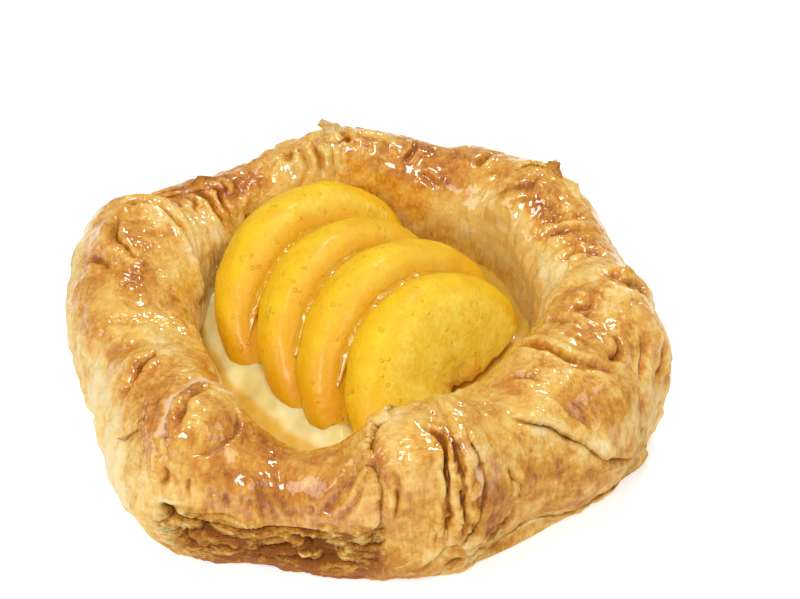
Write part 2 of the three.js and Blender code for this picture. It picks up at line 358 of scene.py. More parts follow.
def spread(points, centre, degrees, size):
    # Squared distance from centre, counted in size: mm round the rim and mm up it.
    turn = math.radians(degrees)
    around = np.array([-math.sin(turn), math.cos(turn), 0])
    offset = points - centre
    across = offset @ around
    rest = np.linalg.norm(offset - across[..., None] * around, axis=-1)
    return (across / size[0]) ** 2 + (rest / size[1]) ** 2


def rimSpot(degrees, way):
    return rimPoint(np.array([float(degrees)]), np.array([float(way)]))[0]


class Dough:
    # A grid of points round the rim. Strokes are laid on it in degrees round and way up the section.
    def __init__(self):
        n = doughSize
        self.ways = np.concatenate([
            np.linspace(0, bulgeWay, n["sideRows"], endpoint=False),
            np.linspace(bulgeWay, crestWay, n["shoulderRows"], endpoint=False),
            np.linspace(crestWay, lipWay, n["lipRows"], endpoint=False),
            np.linspace(lipWay, 1, n["wallRows"]),
        ])
        self.rows = len(self.ways)
        self.columns = n["columns"]
        self.turns = np.arange(self.columns) * 360 / self.columns
        way, turn = np.meshgrid(self.ways, self.turns, indexing="ij")
        self.way = way
        self.turn = turn
        self.points = rimPoint(turn, way)
        self.marks = {key: np.zeros(way.shape) for key in crustMarks}
        self.lift = np.zeros(way.shape)
        self.slide = np.zeros(self.points.shape)
        self.findNormals()

    def findNormals(self):
        around = np.roll(self.points, -1, 1) - np.roll(self.points, 1, 1)
        up = np.gradient(self.points, axis=0)
        self.normals = unit(np.cross(around, up))

    def hollows(self, across, upward):
        # How far each point lies below the average of its neighbours, in mm.
        mean = self.points
        for size, axis in ((across, 1), (upward, 0)):
            edge = "wrap" if axis == 1 else "edge"
            pad = [(size, size) if axis == k else (0, 0) for k in range(3)]
            total = np.cumsum(np.pad(mean, pad, edge), axis=axis)
            total = np.concatenate([np.zeros_like(np.take(total, [0], axis)), total], axis=axis)
            span = 2 * size + 1
            length = total.shape[axis]
            upper = np.take(total, range(span, length), axis)
            lower = np.take(total, range(length - span), axis)
            mean = (upper - lower) / span
        return np.sum((mean - self.points) * self.normals, axis=-1)

    def settle(self):
        # Moves the points to where the strokes so far have pushed them.
        fade = smoothStep(0, 0.05, self.way)  # the foot line stays where it is
        push = self.normals * (self.lift * fade)[..., None] + self.slide * fade[..., None]
        self.points = self.points + push
        self.points[..., 2] = np.maximum(self.points[..., 2], 0)
        self.lift[:] = 0
        self.slide[:] = 0
        self.findNormals()

    def at(self, degrees, way, field):
        row = np.interp(way, self.ways, np.arange(self.rows))
        column = np.mod(degrees, 360) / 360 * self.columns
        r0 = np.minimum(row.astype(int), self.rows - 2)
        c0 = column.astype(int) % self.columns
        c1 = (c0 + 1) % self.columns
        fr = (row - r0)[:, None]
        fc = (column - column.astype(int))[:, None]
        return ((field[r0, c0] * (1 - fr) + field[r0 + 1, c0] * fr) * (1 - fc)
                + (field[r0, c1] * (1 - fr) + field[r0 + 1, c1] * fr) * fc)

    def near(self, path, reach, wobble, ends):
        # Points within reach of a line laid on the dough. Gives their place in the grid, how far
        # they lie to its left in mm, a strength that fades at its ends, and the direction of left.
        stretch = np.array([1.0, wayLength])
        line = through(np.asarray(path, float) * stretch, 1.0) / stretch
        spots = self.at(line[:, 0], line[:, 1], self.points)
        spots = spots + wobble * np.stack([swirl(spots + k * 37, 4.0) for k in range(3)], axis=-1)
        up = unit(self.at(line[:, 0], line[:, 1], self.normals))
        low = spots.min(0) - reach
        high = spots.max(0) + reach
        inside = np.all((self.points > low) & (self.points < high), axis=-1)
        rows, columns = np.nonzero(inside)
        p = self.points[rows, columns]
        best = np.full(len(p), 1e9)
        left = np.zeros(len(p))
        along = np.zeros(len(p))
        sideways = np.zeros((len(p), 3))
        length = 0.0
        for a, b, normal in zip(spots, spots[1:], up):
            step = b - a
            size = np.linalg.norm(step)
            if size < 1e-6:
                continue
            t = np.clip((p - a) @ step / size ** 2, 0, 1)
            offset = p - a - t[:, None] * step
            distance = np.linalg.norm(offset, axis=-1)
            side = np.cross(normal, step / size)
            closer = distance < best
            best = np.where(closer, distance, best)
            left = np.where(closer, distance * np.sign(offset @ side), left)
            along = np.where(closer, length + t * size, along)
            sideways[closer] = side
            length += size
        run = max(ends * length, 0.5)
        fade = smoothStep(0, run, along) * smoothStep(0, run, length - along)
        keep = best < reach
        return (rows[keep], columns[keep]), left[keep], fade[keep], sideways[keep]

    def crease(self, path, deep, wide, puff=0.0, bake=0.25, char=0.0, ends=0.3, wobble=0.6):
        # A groove, with the dough puffed up on both sides of it.
        spot, left, fade, _ = self.near(path, wide * 5, wobble, ends)
        d = np.abs(left) / wide
        self.lift[spot] += fade * (-deep * np.exp(-d * d) + puff * np.exp(-((d - 2.1) / 1.2) ** 2))
        # The groove is painted browner and darker: browner dough with painted shade in it.
        self.marks["bake"][spot] += fade * bake * np.exp(-(d / 1.2) ** 2)
        self.marks["char"][spot] += fade * char * np.exp(-(d / 0.8) ** 2)

    def lip(self, path, high, top="left", back=3.0, over=0.5, bake=0.2, raw=0.0, char=0.0, ends=0.25,
            wobble=0.7):
        # The free edge of a sheet of dough that lies on the sheet below.
        spot, left, fade, sideways = self.near(path, back * 3 + 1, wobble, ends)
        sign = 1 if top == "left" else -1
        d = left * sign
        inland = np.maximum(d, 0)
        sheet = high * np.exp(-inland / back) * (1 - 0.35 * np.exp(-inland / 0.4))
        under = -0.45 * high * np.exp(np.minimum(d, 0) / 0.9)
        self.lift[spot] += fade * np.where(d >= 0, sheet, under)
        push = fade * over * np.where(d >= 0, np.exp(-(d / 0.8) ** 2), 0)
        self.slide[spot] -= sideways * (sign * push)[:, None]
        # The sheet's edge is browner, and the dough just under the edge is painted darker: painted shade.
        toastAndShade = np.where(d >= 0, np.exp(-(d / 0.9) ** 2), np.exp(d / 1.2))
        self.marks["bake"][spot] += fade * bake * toastAndShade
        self.marks["char"][spot] += fade * char * np.where(d >= 0, 0, np.exp(d / 0.7))
        self.marks["raw"][spot] += fade * raw * np.exp(-((d - 0.5) / 0.7) ** 2)

    def ridge(self, path, high, wide, bake=0.0, ends=0.3, wobble=0.5):
        # A raised fold.
        spot, left, fade, _ = self.near(path, wide * 3, wobble, ends)
        d = left / wide
        self.lift[spot] += fade * high * np.exp(-d * d)
        self.marks["bake"][spot] += fade * bake * np.exp(-d * d)

    def tint(self, path, wide, ends=0.15, **amounts):
        # Marks along a ragged band, with no change of shape.
        spot, left, fade, _ = self.near(path, wide * 2.2, 1.2, ends)
        ragged = 1 + 0.5 * grain.layered(self.points[spot], 3.5, 3)
        d = left / wide * ragged
        fade = fade * np.exp(-d ** 4)
        for key, amount in amounts.items():
            self.marks[key][spot] += fade * amount

    def swell(self, middle, size, high):
        # A soft swelling, or a dent where high is negative. size: mm round and mm up.
        centre = self.at(np.array([middle[0]]), np.array([middle[1]]), self.points)[0]
        self.lift += high * np.exp(-spread(self.points, centre, middle[0], size))

    def pleats(self, first, last, count, deep, wide, seed, puff=0.3, bake=0.1, ends=0.35, wobble=0.5):
        # A run of small creases between two lines.
        draw = np.random.default_rng(seed)
        a = np.array(first, float)
        b = np.array(last, float)
        for k in range(count):
            share = (k + draw.uniform(-0.45, 0.45)) / max(count - 1, 1)
            low, high = a + (b - a) * share
            start = draw.uniform(0, 0.35)
            stop = draw.uniform(0.65, 1.1)
            path = low + (high - low) * np.array([[start], [(start + stop) / 2], [stop]])
            path[1, 0] += draw.normal(0, 0.8)
            path[:, 0] += draw.normal(0, 0.5)
            jitter = draw.uniform(0.4, 1.5)
            self.crease(path, deep * jitter, wide * draw.uniform(0.7, 1.5), puff * deep * jitter,
                        bake * draw.uniform(0.1, 1.0), 0, ends, wobble)


# stretches of tight, shiny skin: degrees, way, mm round and up
calmSpots = [(252, 0.38, 22, 9), (76, 0.62, 16, 9), (60, 0.6, 6, 7), (288, 0.47, 8, 4), (114, 0.67, 7, 5)]


def calmAreas(dough):
    for turn, way, wide, tall in calmSpots:
        away = spread(dough.points, rimSpot(turn, way), turn, (wide, tall))
        dough.marks["smooth"] += np.exp(-away ** 1.5)


def shapeBroadForms(dough):
    # The puffed bands and the dents between them: (degrees, way), mm round and up, mm high.
    swells = [
        ((167, 0.5), (9, 8), 1.6), ((190, 0.45), (14, 12), 0.8), ((205, 0.47), (8, 10), 0.6),
        ((222, 0.2), (14, 10), 1.4), ((231, 0.47), (5, 6), 1.5), ((252, 0.4), (16, 9), 0.8),
        ((276, 0.42), (5.5, 10), 2.0), ((284.5, 0.36), (2.4, 12), -1.1), ((290, 0.36), (4, 10), 0.9),
        ((300, 0.42), (10, 12), 1.0), ((316, 0.3), (12, 10), 0.8), ((342, 0.53), (6, 5), -1.4),
        ((331, 0.52), (5, 9), 1.1), ((350, 0.45), (10, 12), 0.9), ((5, 0.5), (10, 10), 0.6),
        ((22, 0.5), (10, 10), -1.0), ((12, 0.35), (14, 10), -1.0), ((38, 0.5), (6, 8), 0.8),
        ((57, 0.52), (7, 8), -0.5), ((68, 0.52), (9, 8), 0.8), ((86, 0.52), (9, 8), 0.6),
        ((117, 0.48), (12, 9), -1.0), ((137, 0.5), (7, 8), 0.6),
        ((148, 0.45), (8, 8), 0.5), ((312, 0.08), (22, 6), -1.2), ((300, 0.12), (10, 6), -0.8),
    ]
    for middle, size, high in swells:
        dough.swell(middle, size, high)
    p = dough.points
    dough.lift += 0.55 * lumps.layered(p, 13, 2) + 0.3 * lumps(p + 50, 5.5)
    turns = sorted(outlineNudges)
    nudge = np.interp(dough.turn, turns, [outlineNudges[turn] for turn in turns])
    dough.lift += nudge * (1 - smoothStep(0.56, 0.72, dough.way))
    dough.settle()


# Strokes, part by part. Each has its path in degrees and way, then these, in mm and in shares of 1:
#   crease: deep, wide, puff, browning and painted shade, crevice brown and painted shade, ends, wobble
#   lip: high, top side, back, over, browning and painted shade, raw, crevice brown and painted shade, ends,
#       wobble
#   ridge: high, wide, browning    tint: wide, ends, then what it marks
#   pleats: first and last line, count, deep, wide, seed, then by name


def shapeLeftEar(dough):
    dough.crease([(161, 0.47), (165, 0.475), (169, 0.49), (172, 0.525), (174, 0.56)], 2.2, 0.75, 0.8, 0.3,
            0.6)
    dough.lip([(160, 0.46), (164, 0.472), (169, 0.49), (172, 0.52), (175, 0.565), (177, 0.62)], 1.3, "right",
            4, 0.8, 0.15)
    dough.crease([(172, 0.4), (173, 0.44), (176, 0.49)], 1.0, 1.0, 0.3, 0.35, 0.1)
    dough.lip([(160, 0.665), (163, 0.71), (167, 0.745), (172, 0.75)], 1.2, "right", 2.5, 0.5, 0.25, 0, 0.6)
    for spread, high in ((0, 0.8), (3.0, 0.7), (5.6, 0.6), (8.2, 0.5)):
        fold = np.array([(164, 0.43), (158, 0.48), (157, 0.56), (160, 0.64), (165, 0.72)])
        fold[:, 0] -= spread * np.array([1, 1, 1, 0.8, 0.6])
        dough.ridge(fold, high, 0.7, -0.1)
        dough.crease(fold - [1.5, 0], high * 0.9, 0.4, 0.2, 0.3, 0.15)
    dough.crease([(160, 0.45), (156.5, 0.5), (156, 0.56), (159, 0.63)], 0.8, 0.7, 0.2, 0.2, 0.1)
    dough.crease([(154, 0.47), (152, 0.53), (153, 0.6), (157, 0.68)], 0.7, 0.6, 0.2, 0.1)
    dough.lip([(157, 0.43), (150, 0.465), (144, 0.49), (139, 0.52), (136, 0.56)], 0.8, "left", 3, 0.5, 0.25)
    dough.lip([(156, 0.4), (148, 0.44), (141, 0.475), (134, 0.5)], 0.6, "left", 3, 0.5, 0.25)
    for start, deep, low in ((143, 0.6, 0.62), (139.5, 1.1, 0.7), (136, 1.3, 0.68), (133.5, 0.7, 0.62)):
        dough.crease([(start + 1, 0.5), (start, 0.57), (start + 1.5, (0.57 + low) / 2), (start + 1, low)],
                deep, 0.5, 0.6, 0.35, 0.25)
    dough.crease([(134, 0.7), (132, 0.715), (130, 0.715)], 2.0, 0.9, 0.2, 0.4, 0.9)
    dough.pleats([(176, 0.49), (177, 0.57)], [(182, 0.49), (181, 0.58)], 5, 0.45, 0.45, 5)


def shapeLeftBand(dough):
    dough.crease([(213, 0.36), (211, 0.41), (208.5, 0.455), (206, 0.5)], 1.2, 0.8, 0.4, 0.45, 0.3)
    dough.lip([(213, 0.34), (210.5, 0.41), (207, 0.48), (204, 0.55)], 0.8, "left", 3.5, 0.4, 0.2)
    dough.crease([(197, 0.36), (199, 0.43), (199, 0.5)], 0.6, 1.2, 0.2, 0.25)
    dough.crease([(190, 0.42), (192, 0.5), (192, 0.58)], 0.5, 1.0, 0.2, 0.1)
    for start, deep in ((206, 0.8), (215, 1.2), (220, 0.6), (198, 0.6)):
        dough.crease([(start, 0.34), (start + 1.5, 0.26), (start + 4, 0.14)], deep, 1.5, 0.3, 0.0)
    dough.pleats([(183, 0.1), (183, 0.32)], [(226, 0.08), (217, 0.36)], 12, 0.35, 0.9, 7, bake=0.0)


def shapeFrontLeftRoll(dough):
    # A rolled end: concentric layers round a nub, with a strip of unbaked layers showing.
    arcs = [
        [(217.5, 0.6), (215, 0.52), (217, 0.45), (220, 0.4), (223, 0.34), (225, 0.28)],
        [(219.5, 0.6), (217, 0.525), (219, 0.46), (222, 0.4), (225, 0.345), (227, 0.29)],
        [(221, 0.6), (219, 0.53), (221, 0.47), (224, 0.41), (226.5, 0.355), (229, 0.29)],
    ]
    for arc in arcs:
        dough.lip(arc, 0.75, "left", 1.3, 0.35, 0.3, 0.0, 0.15, 0.15, 0.5)
    dough.tint([(223.5, 0.62), (222.3, 0.56), (223.0, 0.5), (225, 0.45), (227.5, 0.39)], 1.25, 0.08, raw=1.0,
            gloss=-0.4)
    dough.lip([(225, 0.585), (224.5, 0.52), (226.5, 0.45), (229, 0.4), (230, 0.36)], 1.3, "left", 1.4, 0.6,
            0.3, 0.0, 0.9, 0.15)
    dough.crease([(226, 0.57), (226, 0.51), (228, 0.45), (230, 0.41)], 1.6, 0.8, 0.2, 0.3, 0.7)
    dough.swell((231.5, 0.475), (3.6, 4.6), 1.0)
    dough.lip([(232, 0.57), (236, 0.54), (238, 0.49), (236.5, 0.43), (233, 0.385)], 0.8, "left", 2.0, 0.3,
            0.3, 0.0, 0.4)
    dough.pleats([(228, 0.36), (229.5, 0.29)], [(235, 0.37), (236, 0.3)], 6, 0.45, 0.5, 9, bake=0.25)


def shapeFrontBand(dough):
    dough.pleats([(237, 0.37), (237.5, 0.3)], [(266, 0.35), (267, 0.29)], 19, 0.35, 0.55, 12, bake=0.28)
    dough.crease([(268.5, 0.44), (262, 0.345), (259, 0.31)], 0.5, 0.8, 0.3, 0.1)
    dough.crease([(270, 0.38), (266, 0.325), (263, 0.29)], 0.5, 0.6, 0.3, 0.15)
    dough.crease([(244, 0.43), (247, 0.36), (246, 0.31)], 0.5, 1.2, 0.3, 0.2)


# where sheets lie open: first and last degrees, top way, how strongly, seed
layerSpans = [
    (229, 273, 0.285, 1.0, 5),
    (284, 300, 0.2, 0.6, 8),
    (20, 70, 0.16, 0.5, 9),
    (95, 150, 0.14, 0.5, 12),
]


def shapeLayers(dough, first, last, top, amount, seed):
    # Open edges of the laminated sheets low on the side: thin rims round ragged flat hollows.
    edge = 4
    p = dough.points
    turn = dough.turn + 3.5 * swirl.layered(p, 8, 3)
    inside = smoothStep(first, first + edge, turn) * (1 - smoothStep(last - edge, last, turn))
    height = p[..., 2] + 1.5 * lumps(p * [1, 1, 0.7] + seed, 12) + 0.3 * grain(p + seed, 4.0)
    inside = inside * (1 - smoothStep(top - 0.035, top + 0.012, dough.way + 0.012 * lumps(p, 5)))
    inside = inside * smoothStep(0.015, 0.07, dough.way) * amount
    inside = inside * (0.35 + 0.65 * smoothStep(0.09, 0.15, dough.way))  # shallower near the foot
    # edges of sheets run round at even heights, and open out here and there into flat hollows
    sheets = height / 1.25 + 0.9 * swirl(p * [1, 1, 1.6] + seed * 3, 9)
    rims = np.exp(-((sheets - np.floor(sheets) - 0.5) / 0.17) ** 2)
    drawn = np.stack([p[..., 0] / 9, p[..., 1] / 9, height / 2.6], axis=-1) + seed * 1.7
    cells = swirl(drawn, 1.0)
    hole = smoothStep(0.22, 0.6, np.abs(cells))
    shell = np.exp(-((np.abs(cells) - 0.2) / 0.07) ** 2)
    dough.lift += inside * (0.34 * rims * (1 - hole) + 0.5 * shell - 0.2 - 1.7 * hole)
    # The hollows are painted darker, painted shade with browner dough in them, and the rims paler.
    dough.marks["bake"] += inside * (0.2 + 0.3 * hole - 0.3 * rims * (1 - hole) - 0.2 * shell)
    dough.marks["char"] += inside * (0.22 * hole + 0.1 * (1 - rims))
    dough.marks["gloss"] -= inside * 0.5
    dough.marks["layers"] += inside


def shapeFrontGaps(dough):
    # The larger openings between sheets, each a long lens.
    gaps = [
        [(230.5, 0.265), (232, 0.25), (233.5, 0.235)],
        [(233, 0.225), (234.5, 0.21), (236, 0.18), (239, 0.16)],
        [(238, 0.175), (241, 0.19), (244.5, 0.175)],
        [(237.5, 0.245), (240.5, 0.24)],
        [(251, 0.225), (254.5, 0.222)],
        [(256, 0.232), (258.5, 0.215)],
        [(254, 0.165), (257.5, 0.155), (260, 0.145)],
        [(247, 0.155), (251, 0.145)],
        [(263.5, 0.16), (267, 0.155)],
    ]
    for gap in gaps:
        # Each opening is painted dark inside: painted shade.
        dough.crease(gap, 2.4, 0.75, 0.5, 0.3, 1.0, 0.3, 0.4)
    dough.lip([(243, 0.225), (250, 0.232), (254, 0.222), (259, 0.2), (264, 0.18), (269, 0.185)], 0.7, "left",
            1.2, 0.4, -0.15)


def shapeFrontPleat(dough):
    # The big gathered pleat: two stacked bumps at the opening, a bulge, a deep fold, layered lips.
    dough.lip([(279, 0.63), (276, 0.6), (274.5, 0.555), (275.5, 0.52)], 1.3, "right", 3, 0.7, 0.1, 0, 0.4)
    dough.lip([(275.5, 0.52), (272.5, 0.525), (270.5, 0.49), (270.5, 0.455), (272, 0.43)], 1.6, "right", 3.5,
            0.8, 0.1, 0, 0.5)
    dough.lip([(271.5, 0.44), (269.5, 0.425), (271, 0.4), (271.5, 0.34), (270.5, 0.27), (267.5, 0.2)], 1.0,
            "right", 3.5, 0.4, 0.1, 0, 0.25)
    dough.pleats([(272.3, 0.43), (272, 0.26)], [(275, 0.42), (275, 0.27)], 4, 0.4, 0.5, 15, bake=0.12)
    dough.crease([(281, 0.5), (283.5, 0.45), (284.3, 0.4), (284.3, 0.34), (284, 0.28), (283.5, 0.215)], 1.6,
            0.6, 0.5, 0.25, 0.4, 0.15)
    dough.lip([(283.5, 0.485), (285.7, 0.42), (286.2, 0.36), (286.2, 0.29), (286, 0.22), (284, 0.17)], 1.7,
            "right", 3, 0.9, 0.1, 0.0, 0.7, 0.15)
    for shift in (-3.2, -2.4, -1.6, 0.7, 1.4, 2.1, 2.8, 3.6):
        dough.crease([(285.0 + shift, 0.46), (286.2 + shift, 0.38), (286.4 + shift, 0.29),
                (284.8 + shift, 0.19)], 0.75, 0.32, 0.4, 0.3, 0.25, 0.15, 1.0)
    dough.tint([(288, 0.435), (289, 0.38), (289.6, 0.33), (289.3, 0.28)], 0.9, raw=0.7)
    dough.lip([(288.6, 0.45), (290.8, 0.375), (291.2, 0.32), (290.6, 0.26), (289, 0.205), (286, 0.165)], 1.2,
            "left", 2.2, 0.6, 0.1, 0.1, 0.8, 0.15)
    dough.crease([(297, 0.335), (298, 0.3), (299.5, 0.25), (299.5, 0.235)], 1.5, 0.6, 0.3, 0.35, 0.8)
    dough.lip([(297.5, 0.315), (298.6, 0.28), (300, 0.24)], 0.9, "left", 2.0, 0.5, 0.0, 0.2, 0.4)
    dough.lip([(269, 0.085), (275, 0.125), (279.5, 0.145), (282, 0.175), (284.5, 0.2)], 1.3, "left", 2.5,
            0.7, 0.2, 0.2, 0.9, 0.15)
    for drop in (0.035, 0.07):
        dough.lip([(272, 0.085 - drop / 2), (278, 0.125 - drop), (284, 0.16 - drop), (290, 0.19 - drop),
                (297, 0.215 - drop)], 0.8, "left", 1.5, 0.4, 0.25, 0, 0.5)
    dough.pleats([(288, 0.24), (286, 0.15)], [(297, 0.25), (295, 0.16)], 6, 0.5, 0.6, 17, bake=0.2)
    dough.pleats([(281, 0.53), (286, 0.46)], [(289, 0.56), (296, 0.46)], 6, 0.45, 0.7, 18, bake=0.12)


def shapeRightFrontBand(dough):
    dough.crease([(301, 0.445), (305, 0.42), (309, 0.38), (313.5, 0.32), (316, 0.285), (319, 0.255),
            (323, 0.225), (327, 0.205)], 1.9, 0.6, 0.5, 0.25, 0.9, 0.2)
    dough.lip([(301, 0.45), (305, 0.425), (309, 0.385), (313.5, 0.325), (316.5, 0.285), (321, 0.24)], 1.2,
            "left", 4, 0.6, 0.0, 0.1, 0.3)
    dough.crease([(319.5, 0.262), (317.5, 0.235)], 0.8, 0.5, 0.2, 0.3, 0.3)
    dough.crease([(327, 0.205), (331, 0.215), (334, 0.19)], 0.8, 0.8, 0.3, 0.3, 0.3)
    dough.lip([(310.5, 0.46), (312, 0.42), (314.5, 0.35), (315.5, 0.31)], 0.9, "right", 3, 0.4, 0.1)
    dough.swell((315.5, 0.38), (4.2, 4.5), -1.0)
    dough.pleats([(303, 0.3), (306, 0.12)], [(332, 0.36), (338, 0.16)], 9, 0.35, 1.1, 21, bake=0.06)
    dough.pleats([(296, 0.56), (303, 0.47)], [(310, 0.58), (315, 0.47)], 7, 0.45, 0.7, 22, bake=0.1)
    dough.lip([(296, 0.075), (304, 0.085), (312, 0.07), (320, 0.075), (328, 0.085), (334, 0.09)], 0.6,
            "right", 1.6, 0.5, 0.15, 0, 0.3, 0.1)


def shapeRightEar(dough):
    dough.crease([(339, 0.68), (337, 0.6), (336, 0.55), (335.5, 0.5), (336, 0.46)], 1.8, 0.55, 0.3, 0.3, 0.8)
    dough.lip([(339, 0.68), (337, 0.605), (335.7, 0.55), (335.2, 0.5), (335.7, 0.455)], 1.0, "left", 2.5,
            0.5, -0.1)
    dough.crease([(336, 0.455), (335, 0.425), (333, 0.405), (331, 0.41), (329.5, 0.425)], 2.0, 0.7, 0.5,
            0.35, 0.8)
    dough.crease([(324.5, 0.7), (323.5, 0.62), (322.3, 0.56), (322, 0.52), (322.5, 0.48), (325, 0.44),
            (328.5, 0.41)], 1.9, 0.75, 0.6, 0.35, 0.6, 0.15)
    dough.crease([(319.5, 0.5), (322, 0.445), (325.5, 0.415), (329, 0.385)], 0.9, 0.6, 0.4, 0.2, 0.2)
    dough.lip([(349, 0.63), (350, 0.57), (349, 0.51), (346, 0.455), (341, 0.425)], 1.2, "right", 3.5, 0.5,
            0.1)
    dough.lip([(346, 0.62), (346.5, 0.57), (345, 0.52), (342, 0.48)], 0.9, "right", 2.2, 0.5, 0.3, 0, 0.3)
    dough.pleats([(338, 0.62), (337, 0.5)], [(346, 0.6), (344, 0.5)], 5, 0.7, 0.55, 25, bake=0.3)
    dough.pleats([(326, 0.6), (326, 0.46)], [(333, 0.6), (333, 0.46)], 4, 0.4, 0.6, 26, bake=0.1)
    dough.pleats([(352, 0.6), (344, 0.36)], [(361, 0.6), (356, 0.34)], 6, 0.55, 0.8, 27, bake=0.15)
    dough.crease([(341, 0.4), (338, 0.35), (333, 0.31)], 0.9, 0.9, 0.3, 0.25)
    dough.crease([(347, 0.36), (343, 0.3), (338, 0.26)], 0.8, 0.9, 0.3, 0.2)


def shapeRightBackBand(dough):
    dough.pleats([(4, 0.62), (2, 0.36)], [(34, 0.66), (30, 0.4)], 10, 0.4, 0.75, 31, bake=0.15)
    dough.lip([(3, 0.62), (9, 0.585), (14, 0.53), (16, 0.46), (15, 0.4)], 0.9, "right", 3.5, 0.5, 0.1)
    dough.crease([(24, 0.64), (22.5, 0.57), (21, 0.5), (20, 0.44)], 1.2, 0.9, 0.5, 0.3, 0.1)
    dough.crease([(12, 0.64), (12, 0.57), (10, 0.49), (9, 0.42)], 1.0, 0.9, 0.4, 0.2)
    dough.lip([(357, 0.5), (358, 0.43), (357, 0.37), (353, 0.33)], 1.4, "left", 3.0, 0.7, 0.2)
    dough.pleats([(-10, 0.74), (-8, 0.62)], [(30, 0.76), (28, 0.66)], 10, 0.35, 0.8, 33, bake=0.0)


def shapeBackRightPleat(dough):
    dough.lip([(49, 0.73), (45, 0.66), (41.5, 0.605), (38.5, 0.555), (35, 0.51), (30, 0.47)], 1.6, "right",
            4, 0.9, 0.1, 0.1, 0.3)
    dough.crease([(46, 0.68), (42, 0.62), (38.5, 0.57), (35, 0.53)], 1.0, 0.8, 0.3, 0.4, 0.3)
    dough.pleats([(42, 0.64), (38, 0.5)], [(55, 0.72), (50, 0.49)], 6, 0.35, 0.5, 35, bake=0.05)
    dough.crease([(58, 0.56), (57, 0.5), (57, 0.45)], 1.6, 0.7, 0.4, 0.35, 0.5)
    dough.lip([(47, 0.54), (46, 0.49), (44, 0.45), (40, 0.43)], 1.1, "left", 2.5, 0.6, 0.2)


def shapeBackBand(dough):
    dough.crease([(79, 0.6), (77.5, 0.55), (77, 0.49), (78, 0.44)], 0.8, 0.5, 0.5, 0.4, 0.3)
    dough.crease([(66, 0.66), (70, 0.63), (75, 0.62)], 0.4, 0.8, 0.3, 0.15)
    dough.crease([(94, 0.5), (88, 0.505), (82, 0.5)], 0.8, 0.7, 0.3, 0.35, 0.1)
    dough.pleats([(62, 0.56), (61, 0.46)], [(74, 0.55), (74, 0.46)], 4, 0.5, 0.9, 41, bake=0.15)
    dough.pleats([(82, 0.6), (83, 0.5)], [(93, 0.62), (93, 0.5)], 4, 0.5, 0.8, 42, bake=0.15)


def shapeBackCrown(dough):
    dough.lip([(104.5, 0.52), (102.5, 0.56), (99, 0.575), (96.5, 0.55), (96, 0.5)], 0.6, "left", 2, 0.5, 0.1,
            0.2, 0.3)
    dough.crease([(96.5, 0.6), (96, 0.55), (96.5, 0.49)], 1.5, 0.7, 0.4, 0.4, 0.5)
    dough.crease([(107, 0.53), (106, 0.6), (104.5, 0.7)], 1.5, 0.7, 0.5, 0.45, 0.3)
    dough.crease([(112, 0.54), (110, 0.61), (108, 0.69)], 1.0, 0.8, 0.6, 0.2)
    dough.crease([(101, 0.6), (101, 0.66), (100, 0.72)], 0.8, 0.6, 0.4, 0.1)
    dough.pleats([(113, 0.66), (113, 0.5)], [(130, 0.66), (129, 0.5)], 8, 0.6, 0.9, 45, bake=0.2)
    dough.pleats([(95, 0.7), (95, 0.6)], [(112, 0.72), (112, 0.62)], 7, 0.45, 0.6, 46, bake=0.1)


def shapeOuterBack(dough):
    # The far side, which is plainer: upright dents and low layered edges.
    dough.pleats([(8, 0.4), (10, 0.08)], [(168, 0.4), (166, 0.08)], 30, 0.7, 1.6, 51, bake=0.05)
    for start, slant in ((30, 5), (58, -4), (86, 4), (116, -5), (146, 4)):
        dough.lip([(start, 0.12), (start + slant / 2, 0.25), (start + slant, 0.42)], 1.1, "left", 4, 0.6,
                0.1, 0, 0.2)


def wrinkleSkin(dough):
    # Fine puckers and blisters all over, drawn out along the way the dough was pulled.
    p = dough.points
    radius = np.hypot(p[..., 0], p[..., 1])
    turn = np.radians(dough.turn)
    rise = np.cumsum(np.linalg.norm(np.diff(p, axis=0, prepend=p[:1]), axis=-1), axis=0)
    dough.flow = np.stack([radius * np.cos(turn), radius * np.sin(turn), rise * 0.3], axis=-1)
    pull = dough.flow * 0.42
    bend = pull + 0.5 * swirl(p, 7.0)[..., None]
    strands = grain.ridged(bend, 1.5, 3)
    blisters = grain.layered(p + 9, 1.9, 3)
    puckers = np.clip(swirl.ridged(bend * 0.6 + 40, 1.5, 2) - 0.45, 0, 1)
    patchy = 0.55 + 0.8 * smoothStep(-0.25, 0.4, lumps(p + 120, 9))
    rough = patchy * (1 - 0.85 * np.clip(dough.marks["smooth"], 0, 1))
    dough.lift += rough * (0.17 * strands + 0.12 * blisters + 0.35 * puckers) + 0.18 * lumps(p - 80, 3.4)
    dough.marks["bake"] += rough * (0.07 * strands + 0.22 * puckers)


